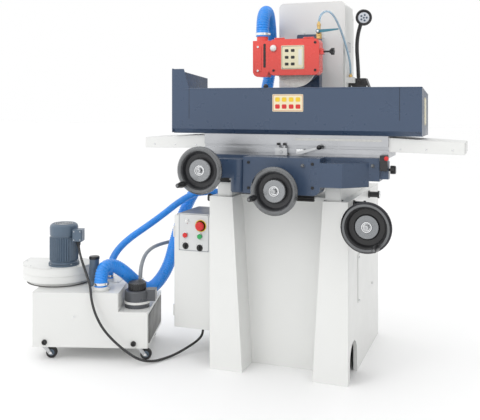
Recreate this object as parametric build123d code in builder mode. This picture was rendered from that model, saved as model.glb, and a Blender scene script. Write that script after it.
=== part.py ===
"""Hand surface grinder with its dust extractor and coolant unit, in millimetres.

+X is to the operator's right, -Y is the operator's side and +Z is up. The origin is on the
floor at the middle of the pedestal. Every piece is one node in parts/.
"""
from build123d import *
from math import cos, pi, radians, sin, tan
import os

os.makedirs("parts", exist_ok=True)

# ---------------------------------------------------------------- driving dimensions
# fits and clearances
running_gap = 0.05  # radial clearance of a shaft that turns in its bore
slide_gap = 0.3  # space between parts that pass each other

# pedestal
base_width = 600.0
base_depth = 730.0
base_height = 740.0
base_wall = 16.0
recess_top_width = 392.0
recess_foot_width = 304.0
recess_depth = 130.0
arch_width = 150.0
arch_height = 150.0
arch_y = -252.0
anchor_span_x = 460.0
anchor_span_y = 620.0
anchor_radius = 9.0
foot_pad = 70.0
foot_thickness = 20.0

# cross ways on the pedestal
rail_height = 60.0
rail_width = 64.0
rail_centre = 236.0
rail_front = -350.0
rail_rear = 190.0

# side access cover
cover_length = 340.0
cover_height = 206.0
cover_thickness = 3.0
cover_centre_y = 4.0
cover_centre_z = 388.0
cover_screw_radius = 5.0
cover_screw_inset = 11.0

# column
head_x = 5.0
column_width = 330.0
column_front = 200.0
column_depth = 180.0
column_height = 887.0
column_wall = 16.0
slot_width = 64.0
slot_top = 1466.0
slot_bottom = 1120.0
way_width = 17.0
way_height = 15.0
way_bottom = 1010.0
way_top = 1480.0
rear_cover_depth = 77.0
rear_cover_wall = 3.0

# wheelhead
spindle_y = -80.0
spindle_z = 1300.0
slide_width = 110.0
slide_thickness = 55.0
slide_bottom = 1120.0
slide_top = 1465.0
quill_radius = 60.0
neck_radius = 28.0
shaft_radius = 20.0
wheel_radius = 90.0
wheel_thickness = 13.0
wheel_bore = 15.9
flange_radius = 40.0
flange_thickness = 6.0
motor_radius = 75.0
motor_front = 222.0
motor_length = 128.0
white_cover_width = 105.0
white_cover_thickness = 3.0

# wheel guard
guard_width = 230.0
guard_offset = 2.0
guard_top = 1424.0
guard_bottom = 1262.0
guard_depth = 62.0
guard_wall = 3.0
guard_corner = 22.0
guard_cover_thickness = 4.0
duct_width = 72.0
duct_top = 1420.0
duct_bottom = 1256.0
duct_spigot_height = 20.0

# saddle, table and their fittings
saddle_half = 422.0
saddle_front = -345.0
saddle_depth = 250.0
saddle_bottom = 826.0
saddle_top = 918.0
apron_front = -430.0
apron_bottom = 768.0
apron_left = -124.0
apron_right = 200.0
boss_x = -154.0
boss_radius = 34.0
table_left = -338.0
table_length = 793.0
table_front = -330.0
table_width = 200.0
table_top = 1007.0
way_cover_length = 291.0
way_cover_front = -320.0
way_cover_width = 180.0
chuck_length = 450.0
chuck_width = 150.0
chuck_height = 73.0
tray_left = -480.0
tray_right = 589.0
tray_front = -360.0
tray_top = 1200.0
tray_left_top = 1287.0
tray_sheet = 3.0

# handwheels
hand_radius = 97.0
traverse_x = -264.0
traverse_y = -560.0
traverse_z = 867.0
cross_x = 34.0
cross_y = -510.0
cross_z = 790.0
vertical_x = 402.0
vertical_y = -530.0
vertical_z = 671.0
feed_shaft_radius = 12.0
collar_depth = 58.0
grip_length = 72.0
grip_pin_radius = 4.0
grip_reach = 80.0

# control cabinet
cabinet_width = 220.0
cabinet_depth = 262.0
cabinet_bottom = 125.0
cabinet_height = 505.0
cabinet_wall = 2.5
cabinet_rear = 30.0
door_thickness = 20.0
button_stem = 7.0

# extractor and coolant unit, in its own frame turned on the floor
unit_turn = 17.0
unit_x = -1074.0
unit_y = -545.0
tank_width = 385.0
tank_depth = 380.0
tank_top = 302.0
step_width = 130.0
step_top = 220.0
tank_wall = 3.0
volute_left = -111.0
volute_right = 212.0
volute_rear = 300.0
volute_nose = (60.0, 68.0)
volute_cheek_y = 180.0
outlet_front = 200.0
volute_wall = 5.0
volute_neck_inset = 22.0
volute_neck_height = 18.0
volute_top = 390.0
fan_x = 95.0
fan_y = 165.0
fan_radius = 78.0
blower_radius = 60.0
blower_top = 577.0
caster_radius = 25.0
caster_width = 18.0
caster_trail = 30.0
caster_clearance = 2.0
caster_plate_thickness = 9.0
caster_inset = 45.0
caster_span_x = 425.0
caster_span_y = 300.0
axle_radius = 4.0
pump_x = 450.0
pump_y = 100.0

# hoses and cables
dust_hose_diameter = 60.0
return_hose_diameter = 34.0
coolant_hose_diameter = 18.0
loop_hose_diameter = 10.0
motor_cable_diameter = 11.0

# ---------------------------------------------------------------- derived places
base_front = -base_depth / 2
base_side = base_width / 2
rail_top = base_height + rail_height
column_rear = column_front + column_depth
column_side = column_width / 2
slide_rear = column_front - way_height
slide_front = slide_rear - slide_thickness
guard_front = spindle_y - 40.0
guard_rear = guard_front + guard_depth
guard_centre = head_x + guard_offset
guard_left = guard_centre - guard_width / 2
guard_right = guard_centre + guard_width / 2
duct_right = guard_left - 8.0
duct_centre = duct_right - duct_width / 2
table_centre = table_left + table_length / 2
table_right = table_left + table_length
chuck_y = table_front + table_width / 2
cabinet_x = -base_side - cabinet_width / 2
cabinet_front = cabinet_rear - cabinet_depth
door_front = cabinet_front - door_thickness
screw_y = slide_front + slide_thickness / 2
caster_plate = 2 * caster_radius + caster_clearance
tank_floor = caster_plate + caster_plate_thickness
unit_axis = (cos(radians(unit_turn)), sin(radians(unit_turn)), 0)
unit_floor = Plane(origin=(unit_x, unit_y, 0), x_dir=unit_axis, z_dir=(0, 0, 1))


# ---------------------------------------------------------------- small helpers
def level(height):
    """The horizontal plane at that height."""
    return Plane.XY.offset(height)


def facing(depth):
    """The upright plane at Y = depth, seen from the operator's side: extrudes towards -Y."""
    return Plane.XZ.offset(-depth)


def across(place):
    """The upright plane at X = place: extrudes towards +X."""
    return Plane.YZ.offset(place)


def prism(plane, wide, deep, amount, at=(0, 0), mode=Mode.ADD):
    """A rectangle on a plane, carried along the plane's normal, in the part being built."""
    with BuildSketch(plane) as outline:
        with Locations(at):
            Rectangle(wide, deep)
    extrude(outline.sketch, amount=amount, mode=mode)


def disc(plane, radius, amount, at=(0, 0), mode=Mode.ADD):
    """A circle on a plane, carried along the plane's normal, in the part being built."""
    with BuildSketch(plane) as outline:
        with Locations(at):
            Circle(radius)
    extrude(outline.sketch, amount=amount, mode=mode)


def slab(plane, points, amount, mode=Mode.ADD):
    """A polygon on a plane, carried along the plane's normal, in the part being built."""
    with BuildSketch(plane) as outline:
        Polygon(*points, align=None)
    extrude(outline.sketch, amount=amount, mode=mode)


def collar_rear(wheel_y):
    """Where a bearing boss ends: a running gap behind the handwheel's index collar."""
    return wheel_y + collar_depth + 1


def save(part, name):
    """Label one finished piece and write its STEP file."""
    part.label = name
    export_step(part, f"parts/{name}.step")


def unit_point(x, y, z):
    """A point of the extractor's own frame, in the grinder's frame."""
    turn = radians(unit_turn)
    return (
        unit_x + x * cos(turn) - y * sin(turn),
        unit_y + x * sin(turn) + y * cos(turn),
        z,
    )


def bend_radii(points):
    """The arc at each inner point of a route: as large as its two runs allow."""
    radii = []
    for before, here, after in zip(points, points[1:], points[2:]):
        run_in = Vector(*here) - Vector(*before)
        run_out = Vector(*after) - Vector(*here)
        turn = radians(run_in.get_angle(run_out))
        shorter = min(run_in.length, run_out.length)
        radii.append(0.45 * shorter / tan(turn / 2))
    return radii


def tube(name, points, diameter):
    """A hose or cable: straight runs joined by tangent arcs."""
    radii = bend_radii(points)
    with BuildPart() as hose:
        with BuildLine() as route:
            FilletPolyline(*points, radius=radii)
        path = route.wire()
        with BuildSketch(Plane(origin=path @ 0, z_dir=path % 0)):
            Circle(diameter / 2)
        sweep()
    length = path.length
    expected = pi * diameter**2 / 4 * length
    print(f"{name}: {length:.0f} long, volume/section {hose.part.volume / expected:.4f},",
          "radii", [round(r) for r in radii])
    save(hose.part, name)


# ---------------------------------------------------------------- pedestal and column
with BuildPart() as base_pedestal:
    prism(level(0), base_width, base_depth, base_height)
    prism(level(0), base_width - 2 * base_wall, base_depth - 2 * base_wall,
          base_height - base_wall, mode=Mode.SUBTRACT)
    # front recess between two legs that widen towards the floor, closed by a set-back wall
    recess_outline = [
        (-recess_foot_width / 2, 0),
        (recess_foot_width / 2, 0),
        (recess_top_width / 2, base_height),
        (-recess_top_width / 2, base_height),
    ]
    recess_lining = [
        (-recess_foot_width / 2 - base_wall, 0),
        (recess_foot_width / 2 + base_wall, 0),
        (recess_top_width / 2 + base_wall, base_height),
        (-recess_top_width / 2 - base_wall, base_height),
    ]
    slab(facing(base_front + recess_depth), recess_lining, recess_depth)
    prism(facing(base_front + recess_depth), recess_top_width + 2 * base_wall, base_height,
          -base_wall, at=(0, base_height / 2))
    slab(facing(base_front + recess_depth), recess_outline, recess_depth, mode=Mode.SUBTRACT)
    prism(level(base_height), base_width, base_depth, -base_wall)
    slab(facing(base_front + recess_depth - base_wall), recess_outline,
         recess_depth, mode=Mode.SUBTRACT)
    # arched openings near the floor on both sides
    with BuildSketch(across(-base_side)) as arch:
        with Locations((arch_y, (arch_height - arch_width / 2) / 2)):
            Rectangle(arch_width, arch_height - arch_width / 2)
        with Locations((arch_y, arch_height - arch_width / 2)):
            Circle(arch_width / 2)
    extrude(arch.sketch, amount=base_wall, mode=Mode.SUBTRACT)
    extrude(arch.sketch.moved(Location((base_width - base_wall, 0, 0))), amount=base_wall,
            mode=Mode.SUBTRACT)
    # four anchor pads on the floor, joined to the side walls
    for side in (-1, 1):
        for end in (-1, 1):
            pad_at = (
                side * (base_side - base_wall - foot_pad / 2),
                end * (base_depth / 2 - base_wall - foot_pad / 2),
            )
            prism(level(0), foot_pad, foot_pad, foot_thickness, at=pad_at)
            disc(level(0), anchor_radius, foot_thickness,
                 at=(side * anchor_span_x / 2, end * anchor_span_y / 2), mode=Mode.SUBTRACT)
    # the two cross ways, a flat one and a vee one
    for side in (-1, 1):
        prism(level(base_height), rail_width, rail_rear - rail_front, rail_height,
              at=(side * rail_centre, (rail_front + rail_rear) / 2))
    # nut block of the cross-feed screw
    nut_front = -135.0
    nut_length = 40.0
    prism(level(base_height), 70, nut_length, 75, at=(cross_x, nut_front + nut_length / 2))
    disc(facing(nut_front + nut_length), feed_shaft_radius + running_gap, nut_length,
         at=(cross_x, cross_z), mode=Mode.SUBTRACT)
    # clearance hole for the elevating screw, return spigot and coolant grommet
    disc(level(base_height - base_wall), feed_shaft_radius + 4, base_wall,
         at=(head_x, screw_y), mode=Mode.SUBTRACT)
    disc(across(-base_side), 15, -25, at=(60, 700))
    disc(across(-base_side), 13, -10, at=(110, 450))
save(base_pedestal.part, "base_pedestal")

with BuildPart() as base_side_cover:
    prism(across(base_side), cover_length, cover_height, cover_thickness,
          at=(cover_centre_y, cover_centre_z))
    fillet(base_side_cover.edges().filter_by(Axis.X), 6)
    for side in (-1, 1):
        for end in (-1, 1):
            screw_at = (
                cover_centre_y + side * (cover_length / 2 - cover_screw_inset),
                cover_centre_z + end * (cover_height / 2 - cover_screw_inset),
            )
            disc(across(base_side + cover_thickness), cover_screw_radius, 2.5, at=screw_at)
save(base_side_cover.part, "base_side_cover")

column_mid = (head_x, column_front + column_depth / 2)
with BuildPart() as column:
    prism(level(base_height), column_width, column_depth, column_height, at=column_mid)
    fillet(column.edges().group_by(Axis.Z)[-1].filter_by(Axis.Y), 24)
    prism(level(base_height), column_width - 2 * column_wall, column_depth - 2 * column_wall,
          column_height - column_wall, at=column_mid, mode=Mode.SUBTRACT)
    prism(facing(column_front + column_wall), slot_width, slot_top - slot_bottom,
          column_wall, at=(head_x, (slot_top + slot_bottom) / 2), mode=Mode.SUBTRACT)
    for side in (-1, 1):
        way_x = head_x + side * (slot_width / 2 + way_width / 2 + 1)
        prism(facing(column_front), way_width, way_top - way_bottom, way_height,
              at=(way_x, (way_top + way_bottom) / 2))
    # fitting for the coolant hose on the right side
    prism(across(head_x + column_side), 30, 28, 36, at=(250, 1248))
save(column.part, "column")

rear_mid = (head_x, column_rear + rear_cover_depth / 2)
with BuildPart() as column_rear_cover:
    prism(level(base_height), column_width - 20, rear_cover_depth, column_height - 30, at=rear_mid)
    top_rear = column_rear_cover.edges().group_by(Axis.Z)[-1].filter_by(Axis.X).sort_by(Axis.Y)[-1]
    fillet(top_rear, 45)
    prism(level(base_height), column_width - 20 - 2 * rear_cover_wall,
          rear_cover_depth - rear_cover_wall, column_height - 30 - 40,
          at=(head_x, column_rear + (rear_cover_depth - rear_cover_wall) / 2),
          mode=Mode.SUBTRACT)
    with BuildSketch(facing(column_rear + rear_cover_depth)) as louvres:
        with Locations((head_x, 1100)):
            with GridLocations(0, 26, 1, 8):
                SlotOverall(150, 8)
    extrude(louvres.sketch, amount=rear_cover_wall, mode=Mode.SUBTRACT)
save(column_rear_cover.part, "column_rear_cover")

feed_width = 150.0
feed_front = -440.0
feed_rear = -290.0
with BuildPart() as feed_housing:
    prism(level(624), feed_width, feed_rear - feed_front, 76,
          at=(base_side + feed_width / 2, (feed_front + feed_rear) / 2))
    fillet(feed_housing.edges().filter_by(Axis.Z).sort_by(Axis.X)[-2:], 20)
    fillet(feed_housing.edges().group_by(Axis.Z)[-1].sort_by(Axis.X)[-1], 10)
    # the pedestal's corner is cleared in front of its face
    prism(level(624), 4, base_front - feed_front, 76,
          at=(base_side + 2, (feed_front + base_front) / 2), mode=Mode.SUBTRACT)
    disc(facing(feed_front), 30, feed_front - collar_rear(vertical_y), at=(vertical_x, vertical_z))
    disc(facing(-330), feed_shaft_radius + running_gap, 160, at=(vertical_x, vertical_z),
         mode=Mode.SUBTRACT)
save(feed_housing.part, "feed_housing")

with BuildPart() as lifting_bars:
    for side in (-1, 1):
        for bar_y in (-250.0, 100.0):
            disc(across(side * base_side), 13, side * 42, at=(bar_y, 718))
            disc(across(side * (base_side + 42)), 17, side * 8, at=(bar_y, 718))
            disc(across(side * base_side), 17, side * 6, at=(bar_y, 718))
save(lifting_bars.part, "lifting_bars")

# ---------------------------------------------------------------- control cabinet
cabinet_mid_y = cabinet_front + cabinet_depth / 2
with BuildPart() as control_cabinet:
    prism(level(cabinet_bottom), cabinet_width, cabinet_depth, cabinet_height,
          at=(cabinet_x, cabinet_mid_y))
    prism(facing(cabinet_rear - cabinet_wall), cabinet_width - 2 * cabinet_wall,
          cabinet_height - 2 * cabinet_wall, cabinet_depth,
          at=(cabinet_x, cabinet_bottom + cabinet_height / 2), mode=Mode.SUBTRACT)
    # mounting plate inside and a rain lip over the door
    prism(facing(cabinet_rear - 14), cabinet_width - 40, cabinet_height - 60, 2,
          at=(cabinet_x, cabinet_bottom + cabinet_height / 2))
    for side in (-1, 1):
        disc(facing(cabinet_rear - cabinet_wall), 5, 12,
             at=(cabinet_x + side * 70, cabinet_bottom + cabinet_height / 2))
    disc(level(cabinet_bottom), 8, cabinet_wall, at=(-411, -174), mode=Mode.SUBTRACT)
save(control_cabinet.part, "control_cabinet")

buttons = {
    "stop_button": (-463.0, 543.0),
    "start_button": (-392.0, 541.0),
    "selector_left": (-463.0, 494.0),
    "selector_right": (-394.0, 489.0),
    "emergency_stop": (-389.0, 588.0),
}
door_mid_z = cabinet_bottom + cabinet_height / 2
with BuildPart() as cabinet_door:
    prism(facing(cabinet_front), cabinet_width, cabinet_height, door_thickness,
          at=(cabinet_x, door_mid_z))
    fillet(cabinet_door.edges().filter_by(Axis.Z).sort_by(Axis.Y)[:2], 3)
    prism(facing(cabinet_front), cabinet_width - 2 * cabinet_wall - 8, cabinet_height - 13,
          door_thickness - cabinet_wall, at=(cabinet_x, door_mid_z), mode=Mode.SUBTRACT)
    # hinge knuckles on the door's left front edge
    for knuckle_z in (176.0, 532.0):
        disc(level(knuckle_z), 4.5, 48, at=(-520, door_front))
    # pilot lamp in its bezel
    disc(facing(door_front), 9, 4, at=(-455, 606))
    disc(facing(door_front - 4), 6.5, 4, at=(-455, 606))
    for button_x, button_z in buttons.values():
        disc(facing(door_front), 13, 2, at=(button_x, button_z))
        disc(facing(cabinet_front), button_stem + slide_gap, door_thickness + 2,
             at=(button_x, button_z), mode=Mode.SUBTRACT)
save(cabinet_door.part, "cabinet_door")

button_rear = door_front + 12
for button_name in ("stop_button", "start_button"):
    with BuildPart() as push_button:
        disc(facing(button_rear), button_stem, 18, at=buttons[button_name])
        disc(facing(door_front - 6), 11, 6, at=buttons[button_name])
        fillet(push_button.edges().sort_by(Axis.Y)[0], 1.5)
    save(push_button.part, button_name)

with BuildPart() as emergency_stop:
    disc(facing(button_rear), button_stem, 22, at=buttons["emergency_stop"])
    disc(facing(door_front - 10), 20, 12, at=buttons["emergency_stop"])
    fillet(emergency_stop.edges().sort_by(Axis.Y)[0], 6)
save(emergency_stop.part, "emergency_stop")

for selector_name in ("selector_left", "selector_right"):
    selector_x, selector_z = buttons[selector_name]
    with BuildPart() as selector:
        disc(facing(button_rear), button_stem, 15, at=(selector_x, selector_z))
        disc(facing(door_front - 2.5), 11, 4, at=(selector_x, selector_z))
        prism(facing(door_front - 6), 6, 21, 9, at=(selector_x, selector_z))
        fillet(selector.edges().filter_by(Axis.Z).sort_by(Axis.Y)[:2], 1.5)
    save(selector.part, selector_name)

gland_x = -411.0
gland_y = -174.0
gland_end = 106.0
with BuildPart() as cable_gland:
    with BuildSketch(level(cabinet_bottom)) as hexagon:
        with Locations((gland_x, gland_y)):
            RegularPolygon(12, 6)
    extrude(hexagon.sketch, amount=-8)
    disc(level(cabinet_bottom - 8), 9, gland_end - cabinet_bottom + 8, at=(gland_x, gland_y))
save(cable_gland.part, "cable_gland")

# ---------------------------------------------------------------- work lamp
lamp_x = 215.0
lamp_y = 300.0
lamp_foot = 1206.0
arm_diameter = 16.0
lamp_pivot = (252.0, 232.0, 1556.0)
lamp_barrel_radius = 12.0
lamp_barrel_length = 22.0
lamp_axis = Vector(1, 0.215, 0).normalized()
arm_route = [
    (lamp_x, lamp_y, lamp_foot + 52),
    (lamp_x - 3, lamp_y, 1330),
    (lamp_x - 8, lamp_y - 4, 1400),
    (lamp_x - 2, lamp_y - 16, 1465),
    (lamp_x + 18, lamp_y - 40, 1520),
    lamp_pivot,
]
with BuildPart() as lamp_arm:
    slab(facing(lamp_y + 25), [
        (head_x + column_side, lamp_foot),
        (lamp_x + 60, lamp_foot),
        (lamp_x + 40, lamp_foot + 52),
        (head_x + column_side, lamp_foot + 52),
    ], 50)
    fillet(lamp_arm.edges().filter_by(Axis.Y), 4)
    with BuildLine() as arm_line:
        FilletPolyline(*arm_route, radius=bend_radii(arm_route))
    arm_path = arm_line.wire()
    with BuildSketch(Plane(origin=arm_path @ 0, z_dir=arm_path % 0)) as arm_section:
        Circle(arm_diameter / 2)
    sweep(arm_section.sketch, path=arm_path)
    # barrel that the head tilts on
    barrel_end = Vector(*lamp_pivot) - lamp_axis * (lamp_barrel_length / 2)
    disc(Plane(origin=barrel_end, z_dir=lamp_axis), lamp_barrel_radius, lamp_barrel_length)
save(lamp_arm.part, "lamp_arm")

lamp_face = Vector(0.2, -0.93, -0.3).normalized()
lamp_neck = Vector(*lamp_pivot) + lamp_face * (lamp_barrel_radius + slide_gap)
lamp_plane = Plane(origin=lamp_neck, x_dir=lamp_axis, z_dir=lamp_face)
with BuildPart() as lamp_head:
    disc(lamp_plane, 14, 10)
    disc(lamp_plane.offset(10), 37, 24)
    fillet(lamp_head.edges().filter_by(GeomType.CIRCLE).sort_by_distance(lamp_plane.origin)[2], 6)
save(lamp_head.part, "lamp_head")

# ---------------------------------------------------------------- extractor and coolant unit
tank_height = tank_top - tank_floor
step_height = step_top - tank_floor
collar_at = (295.0, 53.0)
return_at = (300.0, 205.0)
with BuildPart() as tank_body:
    prism(unit_floor.offset(tank_floor), tank_width, tank_depth, tank_height,
          at=(tank_width / 2, tank_depth / 2))
    prism(unit_floor.offset(tank_floor), step_width, tank_depth, step_height,
          at=(tank_width + step_width / 2, tank_depth / 2))
    fillet(tank_body.edges().filter_by(Axis.Z), 5)
    prism(unit_floor.offset(tank_floor + tank_wall), tank_width - 2 * tank_wall,
          tank_depth - 2 * tank_wall, tank_height - 2 * tank_wall,
          at=(tank_width / 2, tank_depth / 2), mode=Mode.SUBTRACT)
    prism(unit_floor.offset(tank_floor + tank_wall), step_width - tank_wall,
          tank_depth - 2 * tank_wall, step_height - 2 * tank_wall,
          at=(tank_width + (step_width - tank_wall) / 2 - tank_wall, tank_depth / 2),
          mode=Mode.SUBTRACT)
    disc(unit_floor.offset(tank_top), 36, 18, at=collar_at)
    disc(unit_floor.offset(tank_top), 21, 18, at=return_at)
    disc(unit_floor.offset(tank_top - tank_wall), 26, 40, at=collar_at, mode=Mode.SUBTRACT)
    disc(unit_floor.offset(tank_top - tank_wall), 12, 40, at=return_at, mode=Mode.SUBTRACT)
    disc(unit_floor.offset(tank_top - tank_wall), 55, tank_wall, at=(fan_x, fan_y),
         mode=Mode.SUBTRACT)
    # fixed forks of the two rear casters and the pads of the front ones
    for caster_x in (caster_inset, caster_inset + caster_span_x):
        rear_y = caster_inset + caster_span_y
        prism(unit_floor.offset(caster_plate), 30, 32, caster_plate_thickness, at=(caster_x, rear_y))
        for cheek in (-1, 1):
            prism(unit_floor.offset(caster_radius - 9), 16, 3, caster_plate - caster_radius + 9,
                  at=(caster_x, rear_y + cheek * 12.5))
        disc(Plane(unit_floor.from_local_coords((caster_x, rear_y + 14, caster_radius)),
                   x_dir=unit_axis, z_dir=-unit_floor.y_dir), axle_radius, 28)
save(tank_body.part, "tank_body")



def scroll(height, inset):
    """The volute's outline at that height, drawn in by inset: a scroll with its outlet at the left."""
    with BuildSketch(unit_floor.offset(height)) as outline:
        with BuildLine():
            TangentArc(volute_nose, (volute_left, outlet_front), tangent=(-1, 0))
            cheek = TangentArc(volute_nose, (volute_right, volute_cheek_y), tangent=(1, 0))
            TangentArc((volute_right, volute_cheek_y), (fan_x, volute_rear), tangent=cheek % 1)
            Polyline((fan_x, volute_rear), (volute_left, volute_rear), (volute_left, outlet_front))
        make_face()
        if inset:
            offset(amount=-inset)
    return outline.sketch


volute_floor = tank_top + volute_neck_height
with BuildPart() as blower_volute:
    extrude(scroll(tank_top, volute_neck_inset), amount=volute_neck_height)
    extrude(scroll(volute_floor, 0), amount=volute_top - volute_floor)
    fillet(blower_volute.faces().sort_by(Axis.Z)[-1].edges(), 3)
    extrude(scroll(volute_floor + volute_wall, volute_wall), mode=Mode.SUBTRACT,
            amount=volute_top - volute_floor - 2 * volute_wall)
    disc(unit_floor.offset(tank_top), 55, volute_neck_height + volute_wall, at=(fan_x, fan_y),
         mode=Mode.SUBTRACT)
    disc(unit_floor.offset(volute_top - volute_wall - 1), 15, 10, at=(fan_x, fan_y), mode=Mode.SUBTRACT)
save(blower_volute.part, "blower_volute")

fan_shaft_radius = 9.0
with BuildPart() as blower_impeller:
    disc(unit_floor.offset(332), fan_radius, 4, at=(fan_x, fan_y))
    disc(unit_floor.offset(332), 20, 40, at=(fan_x, fan_y))
    with BuildSketch(unit_floor.offset(336)) as blades:
        with Locations((fan_x, fan_y)):
            with PolarLocations(54, 12):
                Rectangle(44, 2.5, rotation=35)
    extrude(blades.sketch, amount=38)
    disc(unit_floor.offset(332), fan_shaft_radius, 118, at=(fan_x, fan_y))
save(blower_impeller.part, "blower_impeller")

box_at = (172.0, 132.0)
with BuildPart() as blower_motor:
    disc(unit_floor.offset(volute_top), 70, 9, at=(fan_x, fan_y))
    disc(unit_floor.offset(volute_top + 9), blower_radius, blower_top - volute_top - 9,
         at=(fan_x, fan_y))
    fillet(blower_motor.edges().group_by(Axis.Z)[-1], 12)
    disc(unit_floor.offset(volute_top), fan_shaft_radius + running_gap, 70, at=(fan_x, fan_y),
         mode=Mode.SUBTRACT)
    prism(unit_floor.offset(506), 44, 48, 54, at=box_at)
    # filter stub that stands beside the blower
    disc(unit_floor.offset(tank_top), 22, 122, at=(246, 130))
save(blower_motor.part, "blower_motor")

nipple_at = (pump_x + 5, pump_y + 47)
with BuildPart() as coolant_pump:
    disc(unit_floor.offset(step_top), 56, 76, at=(pump_x, pump_y))
    fillet(coolant_pump.edges().group_by(Axis.Z)[-1], 8)
    disc(unit_floor.offset(step_top + 76), 38, 34, at=(pump_x, pump_y))
    prism(unit_floor.offset(step_top + 30), 40, 50, 50, at=(pump_x + 66, pump_y))
    disc(unit_floor.offset(step_top + 70), 9, 35, at=nipple_at)
save(coolant_pump.part, "coolant_pump")

cheek_gap = caster_width / 2 + 2
for fork_name, fork_x in (("left", caster_inset), ("right", caster_inset + caster_span_x)):
    stem = unit_floor.from_local_coords((fork_x, caster_inset, 0))
    side_plane = Plane(stem, x_dir=unit_axis, z_dir=-unit_floor.y_dir)
    with BuildPart() as caster_fork:
        disc(Plane(stem, x_dir=unit_axis, z_dir=(0, 0, 1)).offset(caster_plate), 18,
             caster_plate_thickness - slide_gap)
        for cheek in (-1, 1):
            cheek_plane = side_plane.offset(cheek * (cheek_gap + 1.5) - 1.5)
            slab(cheek_plane, [
                (-10, caster_plate),
                (14, caster_plate),
                (caster_trail + 9, caster_radius - 8),
                (caster_trail - 9, caster_radius - 8),
            ], 3)
        disc(side_plane.offset(-cheek_gap - 3), axle_radius, 2 * cheek_gap + 6,
             at=(caster_trail, caster_radius))
    save(caster_fork.part, f"caster_fork_{fork_name}")

caster_centres = {
    "caster_wheel_front_left": (caster_inset + caster_trail, caster_inset),
    "caster_wheel_front_right": (caster_inset + caster_span_x + caster_trail, caster_inset),
    "caster_wheel_rear_left": (caster_inset, caster_inset + caster_span_y),
    "caster_wheel_rear_right": (caster_inset + caster_span_x, caster_inset + caster_span_y),
}
for wheel_name, (wheel_x, wheel_y) in caster_centres.items():
    hub = unit_floor.from_local_coords((wheel_x, wheel_y, caster_radius))
    wheel_plane = Plane(hub, x_dir=unit_axis, z_dir=-unit_floor.y_dir)
    with BuildPart() as caster_wheel:
        disc(wheel_plane.offset(-caster_width / 2), caster_radius, caster_width)
        fillet(caster_wheel.edges(), 3)
        disc(wheel_plane.offset(-caster_width / 2), axle_radius + running_gap, caster_width,
             mode=Mode.SUBTRACT)
    save(caster_wheel.part, wheel_name)

# ---------------------------------------------------------------- saddle
saddle_rear = saddle_front + saddle_depth
apron_span = apron_right - apron_left
with BuildPart() as saddle:
    prism(level(saddle_bottom), 2 * saddle_half, saddle_depth, saddle_top - saddle_bottom,
          at=(0, (saddle_front + saddle_rear) / 2))
    # deep apron in front, rounded at its lower right corner
    prism(level(apron_bottom), apron_span, saddle_front - apron_front,
          saddle_top - apron_bottom,
          at=((apron_left + apron_right) / 2, (saddle_front + apron_front) / 2))
    fillet(saddle.edges().filter_by(Axis.Y).group_by(Axis.Z)[0].sort_by(Axis.X)[-1], 30)
    # angled right wing of the apron
    slab(level(rail_top + 3), [
        (apron_right, apron_front),
        (289, apron_front),
        (340, -385),
        (380, saddle_front),
        (apron_right, saddle_front),
    ], saddle_top - rail_top - 3 - 18)
    # upright round boss at the left of the apron, with its foot
    boss_y = apron_front + boss_radius - 4
    boss_height = saddle_top - apron_bottom - 16
    prism(level(apron_bottom + 4), 2 * boss_radius, saddle_front + 4 - boss_y, boss_height,
          at=(boss_x, (saddle_front + 4 + boss_y) / 2))
    disc(level(apron_bottom + 4), boss_radius, boss_height, at=(boss_x, boss_y))
    prism(level(apron_bottom), 2 * boss_radius, 44, 34, at=(boss_x + 10, apron_front + 30))
    # bearing arm of the traverse handwheel
    arm_left = traverse_x - 20
    prism(level(saddle_bottom + 2), boss_x - arm_left, 90, saddle_top - saddle_bottom - 14,
          at=((boss_x + arm_left) / 2, saddle_front - 40))
    disc(facing(saddle_front + 6), 41, saddle_front + 6 - collar_rear(traverse_y),
         at=(traverse_x, traverse_z))
    # bearing boss of the cross-feed screw
    disc(facing(apron_front + 4), 44, apron_front + 4 - collar_rear(cross_y),
         at=(cross_x, cross_z))
    # slides that run on the two ways
    for side in (-1, 1):
        prism(level(rail_top), rail_width, saddle_depth, saddle_bottom - rail_top,
              at=(side * rail_centre, (saddle_front + saddle_rear) / 2))
    # bracket of the lock knob on the right end
    prism(across(saddle_half), 36, 70, 34, at=(-318, 870))
    disc(across(saddle_half), 5 + running_gap, 34, at=(-318, 872), mode=Mode.SUBTRACT)
    # shaft bores
    disc(facing(saddle_front + 20), feed_shaft_radius + running_gap, 200,
         at=(traverse_x, traverse_z), mode=Mode.SUBTRACT)
    disc(facing(saddle_front + 1), feed_shaft_radius + running_gap, 130,
         at=(cross_x, cross_z), mode=Mode.SUBTRACT)
save(saddle.part, "saddle")

with BuildPart() as lock_knob:
    disc(across(saddle_half + 6), 5, 50, at=(-318, 872))
    disc(across(saddle_half + 40), 17, 20, at=(-318, 872))
    fillet(lock_knob.edges().filter_by(GeomType.CIRCLE).sort_by(Axis.X)[-1], 6)
save(lock_knob.part, "lock_knob")


# ---------------------------------------------------------------- handwheels
def wheel_profile(deep_dish):
    """Half section of a dished handwheel: radius outwards, depth from the rim's face."""
    return [
        (0, deep_dish),
        (44, deep_dish),
        (48, 4 + deep_dish),
        (49, 18),
        (68, 16),
        (73, -4),
        (80, -11),
        (90, -11),
        (hand_radius, -2),
        (hand_radius, 6),
        (90, 14),
        (80, 16),
        (73, 27),
        (46, 30),
        (36, 34),
        (36, collar_depth),
        (0, collar_depth),
    ]


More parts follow.
